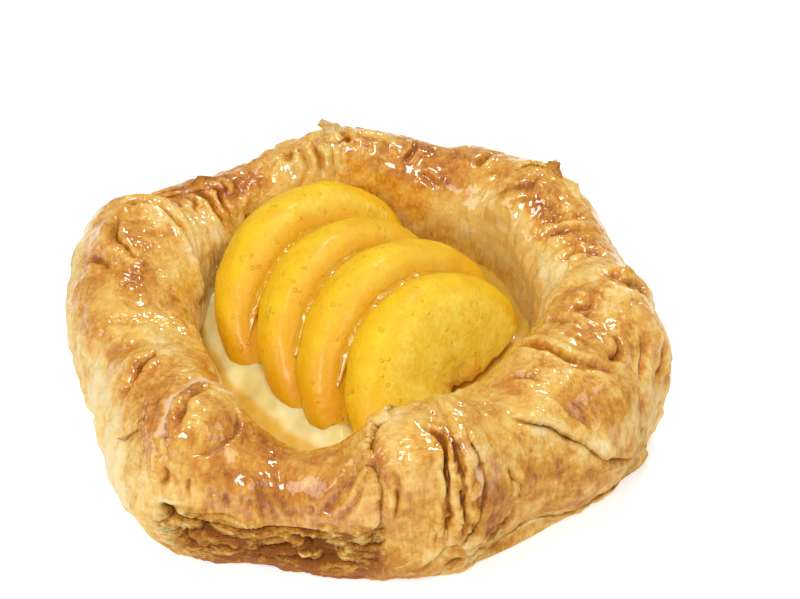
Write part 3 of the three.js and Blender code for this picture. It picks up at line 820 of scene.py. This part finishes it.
# how baked each stretch is: degrees, way, mm round and up, amount
bakeZones = [
    (252, 0.39, 24, 12, 0.34), (240, 0.33, 8, 5, 0.1), (248, 0.36, 5, 5, 0.08),
    (262, 0.34, 8, 6, 0.06), (256, 0.1, 26, 7, 0.54), (242, 0.14, 20, 7, 0.46),
    (252, 0.24, 20, 5, 0.2), (228, 0.24, 6, 7, 0.1), (272, 0.14, 10, 9, 0.18),
    (172, 0.44, 5, 5, 0.22), (164, 0.52, 5, 5, 0.22), (138, 0.56, 5, 6, 0.2), (150, 0.46, 8, 3, 0.16),
    (146, 0.5, 8, 5, 0.1), (132, 0.62, 5, 6, 0.34), (162, 0.57, 6, 7, 0.14), (176, 0.5, 6, 6, 0.12),
    (199, 0.43, 4, 4, 0.26), (210, 0.42, 3, 6, 0.24), (181, 0.58, 6, 7, 0.38), (188, 0.36, 5, 4, 0.24),
    (176, 0.4, 5, 4, 0.2), (222, 0.45, 4, 7, 0.14), (231, 0.43, 4, 5, 0.1), (230, 0.3, 4, 5, 0.16),
    (70, 0.5, 16, 3, 0.16), (75, 0.58, 18, 8, 0.14), (90, 0.56, 9, 7, 0.08), (66, 0.64, 12, 6, 0.14),
    (107, 0.55, 3, 5, 0.2), (97, 0.6, 2, 4, 0.16), (124, 0.6, 6, 4, 0.12), (80, 0.52, 4, 5, 0.12),
    (60, 0.55, 4, 5, 0.14), (26, 0.59, 5, 4, 0.3), (35, 0.56, 5, 4, 0.26), (16, 0.52, 4, 6, 0.22),
    (8, 0.5, 6, 6, 0.1), (341, 0.58, 6, 6, 0.36), (344, 0.5, 4, 4, 0.26), (322, 0.5, 3, 5, 0.3),
    (330, 0.44, 7, 3, 0.26), (315, 0.37, 4, 4, 0.26), (305, 0.28, 7, 7, 0.18), (340, 0.34, 12, 9, 0.12),
    (291, 0.27, 6, 9, 0.52), (300, 0.26, 6, 8, 0.3), (284, 0.34, 3, 12, 0.22),
    (322, 0.22, 16, 9, 0.2), (314, 0.18, 16, 9, 0.22), (322, 0.36, 9, 7, 0.12),
    (332, 0.34, 8, 8, 0.14), (273, 0.28, 6, 9, 0.12), (270, 0.42, 3, 4, 0.2), (290, 0.14, 12, 8, 0.14),
    (350, 0.38, 8, 8, 0.1), (26, 0.61, 7, 6, 0.32), (205, 0.2, 26, 14, -0.3),
    (180, 0.18, 16, 12, -0.14), (222, 0.16, 9, 9, -0.24), (214, 0.3, 8, 6, -0.12),
    (355, 0.7, 18, 8, -0.24), (40, 0.73, 15, 7, -0.6), (8, 0.72, 13, 7, -0.45),
    (3, 0.53, 9, 7, -0.16), (188, 0.64, 14, 6, -0.14), (155, 0.69, 10, 9, -0.66),
    (105, 0.66, 11, 8, -0.34), (118, 0.68, 8, 6, -0.16), (290, 0.56, 14, 5, -0.18),
    (45, 0.68, 12, 9, -0.22), (38, 0.59, 6, 6, 0.14), (186, 0.44, 12, 8, -0.1),
    (278, 0.5, 6, 4, -0.14), (212, 0.55, 9, 5, -0.12), (308, 0.43, 6, 6, -0.32),
    (196, 0.5, 6, 5, -0.14), (338, 0.48, 3, 3, -0.2), (328, 0.57, 4, 5, -0.12),
    (101, 0.5, 3, 4, -0.26), (288, 0.33, 1.6, 9, -0.16), (60, 0.2, 60, 14, 0.06),
    (120, 0.2, 60, 14, 0.03),
]


def colourDough(dough):
    marks = dough.marks
    p = dough.points
    # Hollows are painted browner, and the deepest darker still: painted shade, together with the browner
    # dough that lies in them.
    fine = np.clip(dough.hollows(3, 3), -0.3, 0.5)
    broad = np.clip(dough.hollows(10, 8), -0.8, 1.2)
    bake = marks["bake"] * 0.7 + 0.27 + 0.34 * fine + 0.14 * broad
    deep = 0.8 * np.clip(fine - 0.14, 0, 1) + 0.3 * np.clip(broad - 0.5, 0, 1)
    marks["char"] = marks["char"] * 0.6 + deep
    drifted = p + 2.6 * np.stack([lumps.layered(p + 10 * k, 7, 3) for k in range(3)], axis=-1)
    for turn, way, wide, tall, amount in bakeZones:
        away = spread(drifted, rimSpot(turn, way), turn, (wide, tall))
        bake = bake + amount * 0.9 * np.exp(-away ** 1.2)
    patches = lumps.layered(p + 33, 8, 4)
    bake = bake + 0.26 * patches + 0.14 * grain.layered(p, 2.2, 3)
    bake = bake + 0.16 * (1 - smoothStep(0.0, 0.1, dough.way))
    bake = bake + 0.12 * smoothStep(0.3, 0.42, dough.way) * (1 - smoothStep(0.6, 0.7, dough.way))
    marks["bake"] = bake
    gloss = marks["gloss"] + 0.2 + 0.5 * smoothStep(0.27, 0.42, dough.way) + 0.5 * marks["smooth"]
    gloss = gloss + 0.35 * lumps.layered(p + 70, 7, 3) - 1.2 * np.clip(marks["char"], 0, 1)
    marks["gloss"] = gloss


crustLook = {
    # linear colours from hardly baked to burnt
    "stops": [
        (0.0, (0.88, 0.7, 0.38)),
        (0.2, (0.86, 0.61, 0.22)),
        (0.4, (0.8, 0.49, 0.125)),
        (0.56, (0.71, 0.36, 0.055)),
        (0.7, (0.62, 0.27, 0.022)),
        (0.85, (0.52, 0.195, 0.012)),
        (1.0, (0.38, 0.115, 0.006)),
    ],
    "glazed": (0.96, 0.86, 0.46, 1),
    "raw": (0.83, 0.55, 0.32, 1),
    # painted shade for crevices, openings and the dough under sheet edges, with the dark brown that gathers
    # there
    "char": (0.24, 0.062, 0.004, 1),
}


def makeCrust():
    desk = Desk("baked_crust")
    flow = desk.mark("flow", "Vector")
    speckle = desk.noise(0.8, 5, 0.7)
    patch = desk.noise(4.5, 5, 0.6)
    streak = desk.noise(1.3, 4, 0.62, flow, 0.6)
    thread = desk.noise(0.55, 3, 0.6, flow, 0.4)
    flatten = {0: desk.position(), 1: (1, 1, 5)}
    squeezed = desk.node("ShaderNodeVectorMath", {"operation": "MULTIPLY"}, flatten)
    sheets = (desk.noise(2.2, 3, 0.6, squeezed, 0.5) - 0.5) * desk.mark("layers").clamped()
    bake = desk.mark("bake") + (speckle - 0.5) * 0.7 + (patch - 0.5) * 0.6 + (streak - 0.5) * 0.9
    bake = bake - sheets * 1.3
    colour = desk.ramp(bake, crustLook["stops"])
    raw = (desk.mark("raw") + (speckle - 0.5) * 0.5).between(0.2, 0.8)
    colour = desk.blend(raw, colour, crustLook["raw"])
    # Crevices, openings and the dough under sheet edges darkened: painted shade, with the dark brown that
    # gathers there.
    colour = desk.blend(desk.mark("char").clamped() * 0.75, colour, crustLook["char"])
    gloss = (desk.mark("gloss") + (patch - 0.5) * 0.9 + (streak - 0.5) * 0.4).between(0.25, 0.8)
    colour = desk.blend(gloss * 0.75, colour, crustLook["glazed"], "MULTIPLY")
    height = speckle * 0.5 + streak * 0.8 + thread * 0.5 + sheets * 2.2
    return desk.finish({
        "Base Color": colour,
        "Roughness": 0.6 - gloss * 0.38 + (speckle - 0.5) * 0.2,
        "Specular IOR Level": 0.4,
        "Coat Weight": gloss * 0.95 * (1 - bake.between(0.6, 1.1) * 0.45),
        "Coat Roughness": 0.04,
        "Coat IOR": 1.68,
        "Coat Tint": (1.0, 0.9, 0.66, 1),
        "Subsurface Weight": 0.12,
        "Subsurface Radius": (0.0025, 0.0012, 0.0005),
        "Subsurface Scale": 1.0,
        "Normal": desk.bump(height, 0.6, 1.0),
    })


def makeCase():
    dough = Dough()
    calmAreas(dough)
    shapeBroadForms(dough)
    report("broad forms")
    for shape in (shapeLeftEar, shapeLeftBand, shapeFrontLeftRoll, shapeFrontBand, shapeFrontPleat,
                  shapeRightFrontBand, shapeRightEar, shapeRightBackBand, shapeBackRightPleat, shapeBackBand,
                  shapeBackCrown, shapeOuterBack):
        shape(dough)
    dough.settle()
    report("folds and lips")
    for span in layerSpans:
        shapeLayers(dough, *span)
    shapeFrontGaps(dough)
    dough.settle()
    wrinkleSkin(dough)
    dough.settle()
    colourDough(dough)
    report("skin and colour")
    rim = dough.points.reshape(-1, 3)
    foot = dough.points[0]
    edge = dough.points[-1]
    under = [foot * [s, s, 0] for s in (0.35, 0.7, 0.93)]
    inner = [edge * [s, s, 0] + [0, 0, caseFloor] for s in (0.8, 0.4)]
    points = np.concatenate(under + [rim] + inner + [[[0, 0, 0], [0, 0, caseFloor]]]) + place
    count = dough.columns
    rings = len(under) + dough.rows + len(inner)
    faces = closedFaces(rings, count)
    before = len(under) * count
    after = len(inner) * count + 2
    marks = {}
    for key, values in dough.marks.items():
        level = 0.5 if key == "bake" else 0.0
        marks[key] = np.concatenate([np.full(before, level), values.ravel(), np.full(after, level)])
    marks["flow"] = points.copy()
    marks["flow"][before:-after] = dough.flow.reshape(-1, 3)
    marks["flow"] *= mm
    piece = makePiece("baked_case", points, faces, makeCrust(), marks)
    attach(piece, "root")
    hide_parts("pastry_case")
    return dough


dough = makeCase()
report("case")


# Loose flakes: root line in degrees and way, mm long, lift from 0 flat to 1 upright, curl in mm,
# seed, how baked.
flakes = [
    ([(97.5, 0.5), (101, 0.52), (105.5, 0.5)], 5.0, 0.55, 0.8, 1, -0.05),
    ([(35, 0.44), (40, 0.455), (45, 0.465)], 5.5, 0.45, -0.4, 5, 0.1),
    ([(36, 0.45), (40, 0.46), (44, 0.46)], 3.4, 0.5, 0.5, 2, 0.7),
    ([(28, 0.43), (33, 0.45), (37, 0.45)], 3.5, 0.35, 0.5, 6, 0.15),
    ([(324, 0.11), (330, 0.15), (335, 0.2)], 4.6, 0.72, -0.3, 7, 0.3),
    ([(347, 0.22), (350, 0.25), (352, 0.265)], 4.5, 0.7, -0.8, 9, 0.4),
    ([(355, 0.4), (357, 0.43), (360, 0.45)], 2.5, 0.4, 0.6, 10, 0.35),
    ([(217, 0.31), (220, 0.36), (221, 0.41)], 2.4, 0.35, 0.6, 11, 0.4),
    ([(283, 0.22), (284.3, 0.29), (284.5, 0.36)], 2.4, 0.55, 0.8, 12, 0.35),
    ([(296.5, 0.24), (297.5, 0.28), (297.5, 0.32)], 2.2, 0.4, 0.4, 13, 0.2),
    ([(272, 0.13), (276, 0.155), (280, 0.175)], 2.6, 0.5, -0.5, 14, 0.25),
    ([(236, 0.255), (241, 0.25), (246, 0.24)], 2.2, 0.5, -0.5, 15, 0.3),
    ([(252, 0.21), (257, 0.2), (262, 0.19)], 2.0, 0.5, -0.4, 16, 0.3),
    ([(134, 0.5), (137, 0.505), (140, 0.5)], 2.0, 0.4, 0.8, 4, 0.7),
    ([(108, 0.24), (112, 0.27), (116, 0.28)], 3.2, 0.3, 0.8, 21, 0.35),
    ([(72, 0.24), (80, 0.27), (86, 0.28)], 4.0, 0.3, 0.8, 22, 0.3),
    ([(150, 0.24), (156, 0.27), (161, 0.26)], 3.5, 0.3, 0.8, 24, 0.3),
    ([(309, 0.075), (313, 0.08), (317, 0.085)], 2.2, 0.5, -0.3, 23, 0.35),
]


def makeFlakes(dough, look):
    # Thin ragged sheets that have lifted from the crust, each with an upper and a lower side.
    across = 26
    out = 12
    stretch = [1, wayLength]
    points = []
    bakes = []
    faces = []
    for number, (path, length, rise, curl, seed, baked) in enumerate(flakes):
        draw = np.random.default_rng(seed)
        line = through(np.array(path) * stretch, 0.3) / stretch
        pick = np.linspace(0, len(line) - 1, across)
        line = np.stack([np.interp(pick, range(len(line)), line[:, k]) for k in range(2)], axis=-1)
        root = dough.at(line[:, 0], line[:, 1], dough.points)
        normal = unit(dough.at(line[:, 0], line[:, 1], dough.normals))
        run = unit(np.gradient(root, axis=0))
        rising = unit(np.cross(run, normal)) * (1 - rise) + normal * rise
        peak = draw.uniform(0.3, 0.7)
        share = np.linspace(0, 1, across)
        ragged = length * (0.1 + 0.9 * np.interp(share, [0, peak, 1], [0, 1, 0]) ** 0.9)
        ragged = ragged * (1 + 0.3 * grain.layered(root + seed * 5, 3.5, 3))
        for side in (0.05, -0.05):
            for k in range(out):
                t = k / (out - 1)
                bow = curl * t * t + 0.35 * lumps(root + seed * 3 + t * 4, 3.5) * t
                spot = root - normal * 0.35 + rising * (ragged * t)[:, None]
                points.append(spot + normal * bow[:, None] + normal * side * (1.2 - t))
                bakes.append(np.full(across, baked) + 0.35 * t ** 2 + 0.1 * draw.normal())
        start = number * 2 * out * across
        under = out * across
        for k in range(out - 1):
            for i in range(across - 1):
                a = start + k * across + i
                b = a + under
                faces.append((a, a + 1, a + across + 1, a + across))
                faces.append((b, b + across, b + across + 1, b + 1))
        for k in range(out - 1):
            for i in (0, across - 1):
                a = start + k * across + i
                b = a + under
                faces.append((a, a + across, b + across, b) if i == 0 else (b, b + across, a + across, a))
        for i in range(across - 1):
            for k in (0, out - 1):
                a = start + k * across + i
                b = a + under
                faces.append((b, b + 1, a + 1, a) if k == 0 else (a, a + 1, b + 1, b))
    points = np.concatenate(points)
    marks = {key: np.zeros(len(points)) for key in crustMarks}
    marks["bake"] = np.concatenate(bakes)
    marks["gloss"] += 0.35
    marks["flow"] = points * mm
    points[:, 2] = np.maximum(points[:, 2], 0.2)
    piece = makePiece("loose_flakes", points + place, faces, look, marks)
    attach(piece, "root")


makeFlakes(dough, bpy.data.materials["baked_crust"])
report("flakes")


# Custard.

custard = {
    "middle": 11.8,
    "edge": 9.8,
    "heap": [(-32, 14), (-28, 2), (-24, -7), (-19, -15), (-12, -22.5), (-4, -29)],
    "rise": 3.4,
    "spread": 5.2,
    "columns": 300,
    "rings": 90,
}


def makeCustardLook():
    desk = Desk("baked_custard")
    cloud = desk.noise(6.0, 3, 0.5)
    fine = desk.noise(1.2, 3, 0.5)
    stops = [(0.3, (0.82, 0.64, 0.19)), (0.5, (0.87, 0.73, 0.28)), (0.7, (0.9, 0.8, 0.4))]
    colour = desk.ramp(cloud, stops)
    film = (desk.mark("film") + (cloud - 0.5) * 0.5).between(0.25, 1.1)
    colour = desk.blend(film * 0.92, colour, (0.76, 0.44, 0.02, 1))
    return desk.finish({
        "Base Color": colour,
        "Roughness": 0.38 + (cloud - 0.5) * 0.2,
        "Coat Weight": 0.4 + film * 0.5,
        "Coat Roughness": 0.08,
        "Subsurface Weight": 0.35,
        "Subsurface Radius": (0.004, 0.003, 0.0012),
        "Subsurface Scale": 1.0,
        "Normal": desk.bump(fine, 0.1, 0.4),
    })


def makeCustard():
    turn = np.radians(np.arange(custard["columns"]) * 360 / custard["columns"])
    hollow = rimAt(np.degrees(turn))[4]
    bottom = caseFloor + 0.3
    # two rings on the underside, then the top from its edge to the middle
    shares = np.concatenate([[0.55, 0.96], np.linspace(1, 0.02, custard["rings"])])[:, None]
    reach = (hollow + 0.8) * shares
    x = reach * np.cos(turn)
    y = reach * np.sin(turn)
    flat = np.stack([x, y, 0 * x], axis=-1)
    top = custard["middle"] + (custard["edge"] - custard["middle"]) * shares ** 2 + 0 * x
    ridge = through(custard["heap"], 1.0)
    away = np.min(np.linalg.norm(flat[..., None, :2] - ridge, axis=-1), axis=-1)
    away = away + 0.9 * lumps.layered(flat, 7, 2)
    top = top + custard["rise"] * np.exp(-(away / custard["spread"]) ** 2)
    top = top + 0.8 * lumps.layered(flat + 40, 8, 3) + 0.14 * grain.layered(flat, 3.0, 2)
    top[:2] = bottom
    poles = [[0, 0, bottom], [0, 0, top[-1].mean()]]
    points = np.concatenate([np.stack([x, y, top], axis=-1).reshape(-1, 3), poles]) + place
    film = smoothStep(custard["spread"] * 0.55, custard["spread"] * 1.1, away).ravel()
    faces = closedFaces(len(shares), custard["columns"])
    marks = {"film": np.append(film, [1, 1])}
    piece = makePiece("custard_filling", points, faces, makeCustardLook(), marks)
    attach(piece, "root")
    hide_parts("custard")


makeCustard()
report("custard")


# Peach slices. Degrees and mm: hub on the core line, turn and rise of that line, lean of the upper
# cut face, wedge between the cut faces, radius of the peach, depth of flesh.
peachSlices = [
    {"hub": (-4.9, 9.8, 9.9), "turn": 50, "rise": 3, "lean": 58, "wedge": 38, "radius": 28.3, "flesh": 17},
    {"hub": (2.8, -0.8, 9.7), "turn": 54, "rise": 1, "lean": 60, "wedge": 38, "radius": 28, "flesh": 17},
    {"hub": (11.2, -9.3, 10.2), "turn": 48, "rise": 4, "lean": 62, "wedge": 38, "radius": 28, "flesh": 17},
    {"hub": (18.8, -17.8, 10.4), "turn": 52, "rise": 0, "lean": 62, "wedge": 39, "radius": 27, "flesh": 22},
]
sliceEnds = (-12, 168)  # degrees round the peach, from low tip to high tip
sliceMesh = {
    "along": 170,
    "around": 96,
    "tipDepth": 0.3,  # share of the flesh at which the tips lie
    "foot": 3.2,      # mm broader on each side at the low end
    "footTurn": 27,   # degrees over which that fades
    "corner": 0.78,   # 1 is an oval section, less is squarer
}


def sliceAxes(peach):
    # Along the core line, out into the upper cut face, and square off that face.
    turn, rise, lean = [math.radians(peach[k]) for k in ("turn", "rise", "lean")]
    along = np.array([math.cos(turn) * math.cos(rise), math.sin(turn) * math.cos(rise), math.sin(rise)])
    side = np.array([-math.sin(turn), math.cos(turn), 0])
    out = side * math.cos(lean) + np.cross(along, side) * math.sin(lean)
    return along, out, np.cross(along, out)


def slicePoint(peach, end, depth, swing):
    # end: -1 to 1 from tip to tip, depth: mm under the skin, swing: degrees down from the upper face
    along, out, off = sliceAxes(peach)
    low, high = sliceEnds
    at = np.radians((low + high) / 2 + end * (high - low) / 2)[..., None]
    angle = np.radians(swing)[..., None]
    outwards = out * np.cos(angle) - off * np.sin(angle)
    distance = (peach["radius"] - depth)[..., None]
    foot = sliceMesh["foot"] * np.exp(-(np.degrees(at) / sliceMesh["footTurn"]) ** 2)
    broad = foot * (1 - 2 * swing[..., None] / peach["wedge"])
    spot = np.array(peach["hub"]) - along * distance * np.cos(at) + outwards * distance * np.sin(at)
    return spot + off * broad


def grooveBetween(lower, upper, at):
    # Where the skin of one slice meets the cut face of the slice below it.
    low, high = sliceEnds
    end = (at - (low + high) / 2) / ((high - low) / 2)
    swing, end = np.meshgrid(np.linspace(0, upper["wedge"], 60), end)
    skin = slicePoint(upper, end, 0 * end, swing)
    above = (skin - np.array(lower["hub"])) @ sliceAxes(lower)[2]
    first = np.argmax(above < 0, axis=1)
    first = np.where(np.any(above < 0, axis=1), first, -1)
    return skin[np.arange(len(at)), first]


def makePeachLook():
    desk = Desk("glazed_peach")
    skin = desk.mark("skin")
    core = desk.mark("core")
    cloud = desk.noise(5.0, 4, 0.55)
    fibre = desk.noise(1.1, 5, 0.65)
    stops = [(0.3, (0.84, 0.53, 0.022)), (0.5, (0.9, 0.63, 0.055)), (0.7, (0.93, 0.72, 0.11))]
    mottle = (cloud - 0.5) * 0.8 + (fibre - 0.5) * 0.9 + 0.5
    flesh = desk.ramp(mottle, stops)
    rind = desk.blend(cloud.between(0.3, 0.7), (0.87, 0.56, 0.01, 1), (0.8, 0.45, 0.004, 1))
    # Painted shade: the skin is painted darker toward its low end, by height.
    height = desk.node("ShaderNodeSeparateXYZ", {}, {"Vector": desk.position()}, "Z")
    low = 1 - (height + cloud * 0.006).between(0.016, 0.032)
    rind = desk.blend(low * 0.5, rind, (0.79, 0.39, 0.003, 1))
    wet = desk.mark("wet").clamped()
    colour = desk.blend(skin.between(0.2, 0.9), flesh, rind)
    colour = desk.blend(core.between(0.3, 1.0) * 0.55, colour, (0.62, 0.22, 0.012, 1))
    # Amber glaze along the groove, with painted shade under the slice above.
    colour = desk.blend(wet * 0.9, colour, (0.74, 0.34, 0.002, 1))
    cells = {"Vector": desk.position(), "Scale": 560.0, "Randomness": 1.0}
    bubbles = desk.node("ShaderNodeTexVoronoi", {"feature": "F1"}, cells, "Distance")
    ring = bubbles.between(0.1, 0.2) - bubbles.between(0.2, 0.34)
    sparse = desk.noise(4.0, 2, 0.5).between(0.52, 0.62)
    relief = fibre * 0.7 + ring * sparse * 0.6
    return desk.finish({
        "Base Color": colour,
        "Roughness": 0.42 + (fibre - 0.5) * 0.5,
        "Specular IOR Level": 0.3,
        "Coat Weight": 0.26 - skin * 0.22 + wet * 0.2,
        "Coat Roughness": 0.14,
        "Coat IOR": 1.45,
        "Subsurface Weight": 0.35,
        "Subsurface Radius": (0.0045, 0.0018, 0.0004),
        "Subsurface Scale": 1.0,
        "Normal": desk.bump(relief, 0.4, 0.9),
    })


def makeSlice(number, peach, look):
    n = sliceMesh
    end = -np.cos(np.pi * np.arange(1, n["along"]) / n["along"])[:, None]
    angle = (2 * np.pi * np.arange(n["around"]) / n["around"])[None, :]
    inward = 0.5 - 0.5 * np.sign(np.cos(angle)) * np.abs(np.cos(angle)) ** n["corner"]
    across = np.sign(np.sin(angle)) * np.abs(np.sin(angle)) ** n["corner"]
    taper = np.sqrt(1 - end ** 6)
    depth = peach["flesh"] * (n["tipDepth"] + taper * (inward - n["tipDepth"]))
    swing = peach["wedge"] / 2 - across * peach["wedge"] / 2 * taper
    end, depth, swing = [v + 0 * (end + angle) for v in (end, depth, swing)]
    p = slicePoint(peach, end, depth, swing)
    middle = slicePoint(peach, end, peach["flesh"] * taper * 0.5 + 0 * angle, 0 * swing + peach["wedge"] / 2)
    outward = unit(p - middle)
    core = smoothStep(0.72, 1.0, inward + 0 * end)
    skin = smoothStep(0.34, 0.06, inward + 0 * end)
    ragged = grain.layered(p + number * 17, 2.6, 3)
    size = 0.3 * lumps.layered(p + number * 31, 8, 2) + 0.08 * grain.layered(p, 1.8, 2)
    p = p + outward * (size + core * ragged * 0.9)[..., None]
    tipDepth = np.array([peach["flesh"] * n["tipDepth"]])
    halfway = np.array([peach["wedge"] / 2])
    tips = [slicePoint(peach, np.array([tip]), tipDepth, halfway) for tip in (-1, 1)]
    points = np.concatenate([p.reshape(-1, 3)] + tips) + place
    faces = closedFaces(n["along"] - 1, n["around"])
    wet = np.zeros(skin.shape)
    if number < len(peachSlices):
        # glaze pooled toward the groove above it: amber and glossier there, and painted darker as shade
        # under the slice above
        groove = grooveBetween(peach, peachSlices[number], np.linspace(35, 162, 90))
        gap = np.min(np.linalg.norm(p[:, :, None] - groove, axis=-1), axis=-1)
        wet = np.exp(-(gap / (4.8 + 1.6 * lumps(p, 6))) ** 2)
    marks = {"skin": np.append(skin.ravel(), [1, 1]), "core": np.append(core.ravel(), [0, 0]),
             "wet": np.append(wet.ravel(), [0, 0])}
    piece = makePiece(f"peach_wedge_{number}", points, faces, look, marks)
    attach(piece, "root")
    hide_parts(f"peach_slice_{number}")


peachLook = makePeachLook()
for number, peach in enumerate(peachSlices, 1):
    makeSlice(number, peach, peachLook)
report("peach slices")


# Glaze run together beside the slices.

glazeRun = {
    "radius": 1.1,
    "tall": 0.6,
    "wide": 1.6,
    "proud": 0.35,  # mm off the skin and off the cut face
    "ripple": 0.28,
    "from": 44,     # degrees round the peach
    "to": 150,
    "even": 6,      # stations averaged on each side
    "rings": 220,
    "sides": 28,
}


def makeGlazeLook():
    desk = Desk("clear_glaze")
    cloud = desk.noise(2.5, 3, 0.5)
    colour = desk.blend(cloud, (0.74, 0.35, 0.002, 1), (0.62, 0.25, 0.001, 1))
    return desk.finish({
        "Base Color": colour,
        "Roughness": 0.08 + cloud * 0.06,
        "Specular IOR Level": 0.2,
        "Coat Weight": 0.8,
        "Coat IOR": 1.45,
        "Coat Roughness": 0.02,
        "Subsurface Weight": 0.3,
        "Subsurface Radius": (0.005, 0.002, 0.0004),
        "Subsurface Scale": 1.0,
        "Normal": desk.bump(desk.noise(1.1, 3, 0.6), 0.3, 0.5),
    })


def makeGlazeRun(number, lower, upper, look):
    # Glaze that has settled in the groove, thicker and thinner along its length.
    n = glazeRun
    at = np.linspace(n["from"], n["to"], n["rings"])
    line = grooveBetween(lower, upper, at)
    span = 2 * n["even"] + 1
    padded = np.pad(line, ((n["even"], n["even"]), (0, 0)), "edge")
    line = np.stack([np.convolve(padded[:, k], np.ones(span) / span, "valid") for k in range(3)], axis=-1)
    face = sliceAxes(lower)[2]
    out = unit(line - np.array(upper["hub"]))
    middle = line + out * n["proud"] + face * n["proud"]
    heading = unit(np.gradient(middle, axis=0))
    side = unit(np.cross(heading, face + out))
    up = np.cross(side, heading)[:, None]
    share = np.arange(n["rings"]) / (n["rings"] - 1)
    size = n["radius"] * np.sqrt(np.maximum(np.sin(np.pi * share), 0.0005))
    size = size * (1 + 0.35 * lumps(middle + number * 9, 4.0))
    angle = (2 * np.pi * np.arange(n["sides"]) / n["sides"])[None, :, None]
    size = size[:, None, None]
    section = np.cos(angle) * up * n["tall"] + np.sin(angle) * side[:, None] * n["wide"]
    p = middle[:, None] + size * section
    p = p + n["ripple"] * size * grain.layered(p, 1.9, 3)[..., None] * unit(p - middle[:, None])
    points = np.concatenate([p.reshape(-1, 3), middle[:1], middle[-1:]]) + place
    faces = closedFaces(n["rings"], n["sides"])
    piece = makePiece(f"glaze_run_{number}", points, faces, look)
    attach(piece, "root")
    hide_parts(f"glaze_bead_{number}")


glazeLook = makeGlazeLook()
for number, (lower, upper) in enumerate(zip(peachSlices, peachSlices[1:]), 1):
    makeGlazeRun(number, lower, upper, glazeLook)
report("glaze")


# Floor and light.

def makeFloor():
    half = 2.0
    mesh = bpy.data.meshes.new("floor")
    corners = [(-half, -half, 0), (half, -half, 0), (half, half, 0), (-half, half, 0)]
    mesh.from_pydata(corners, [], [(0, 1, 2, 3)])
    desk = Desk("pale_floor")
    tone = desk.blend(desk.noise(60, 2, 0.5), (0.54, 0.54, 0.54, 1), (0.58, 0.58, 0.58, 1))
    mesh.materials.append(desk.finish({
        "Base Color": tone,
        "Roughness": 0.7,
        "Emission Color": (1, 1, 1, 1),
        "Emission Strength": 0.6,
    }))
    floor = bpy.data.objects.new("floor", mesh)
    floor.location.z = -0.2 * mm  # just clear of the underside
    bpy.context.scene.collection.objects.link(floor)


# place and aim in mm, size in mm, watts
lamps = {
    "key_softbox": ((-90, -420, 570), (0, 0, 10), 185, 2.0),
    "top_softbox": ((-60, -60, 700), (0, 0, 10), 125, 0.75),
    "back_softbox": ((190, 320, 550), (0, 0, 15), 110, 1.5),
    "side_fill": ((420, -330, 360), (0, 0, 15), 240, 0.4),
    "left_fill": ((-460, -260, 330), (0, 0, 15), 280, 0.75),
}


def setLight():
    for name, (spot, aim, size, power) in lamps.items():
        data = bpy.data.lights.new(name, "AREA")
        data.energy = power
        data.size = size * mm
        lamp = bpy.data.objects.new(name, data)
        lamp.location = Vector(spot) * mm
        lamp.rotation_euler = (Vector(aim) - Vector(spot)).to_track_quat("-Z", "Y").to_euler()
        bpy.context.scene.collection.objects.link(lamp)
    world = bpy.data.worlds.new("studio")
    world.use_nodes = True
    sky = world.node_tree.nodes["Background"].inputs
    sky["Color"].default_value = (1, 1, 1, 1)
    sky["Strength"].default_value = 0.37
    bpy.context.scene.world = world
    bpy.context.scene.view_settings.view_transform = "Standard"


makeFloor()
setLight()
report("floor and light")
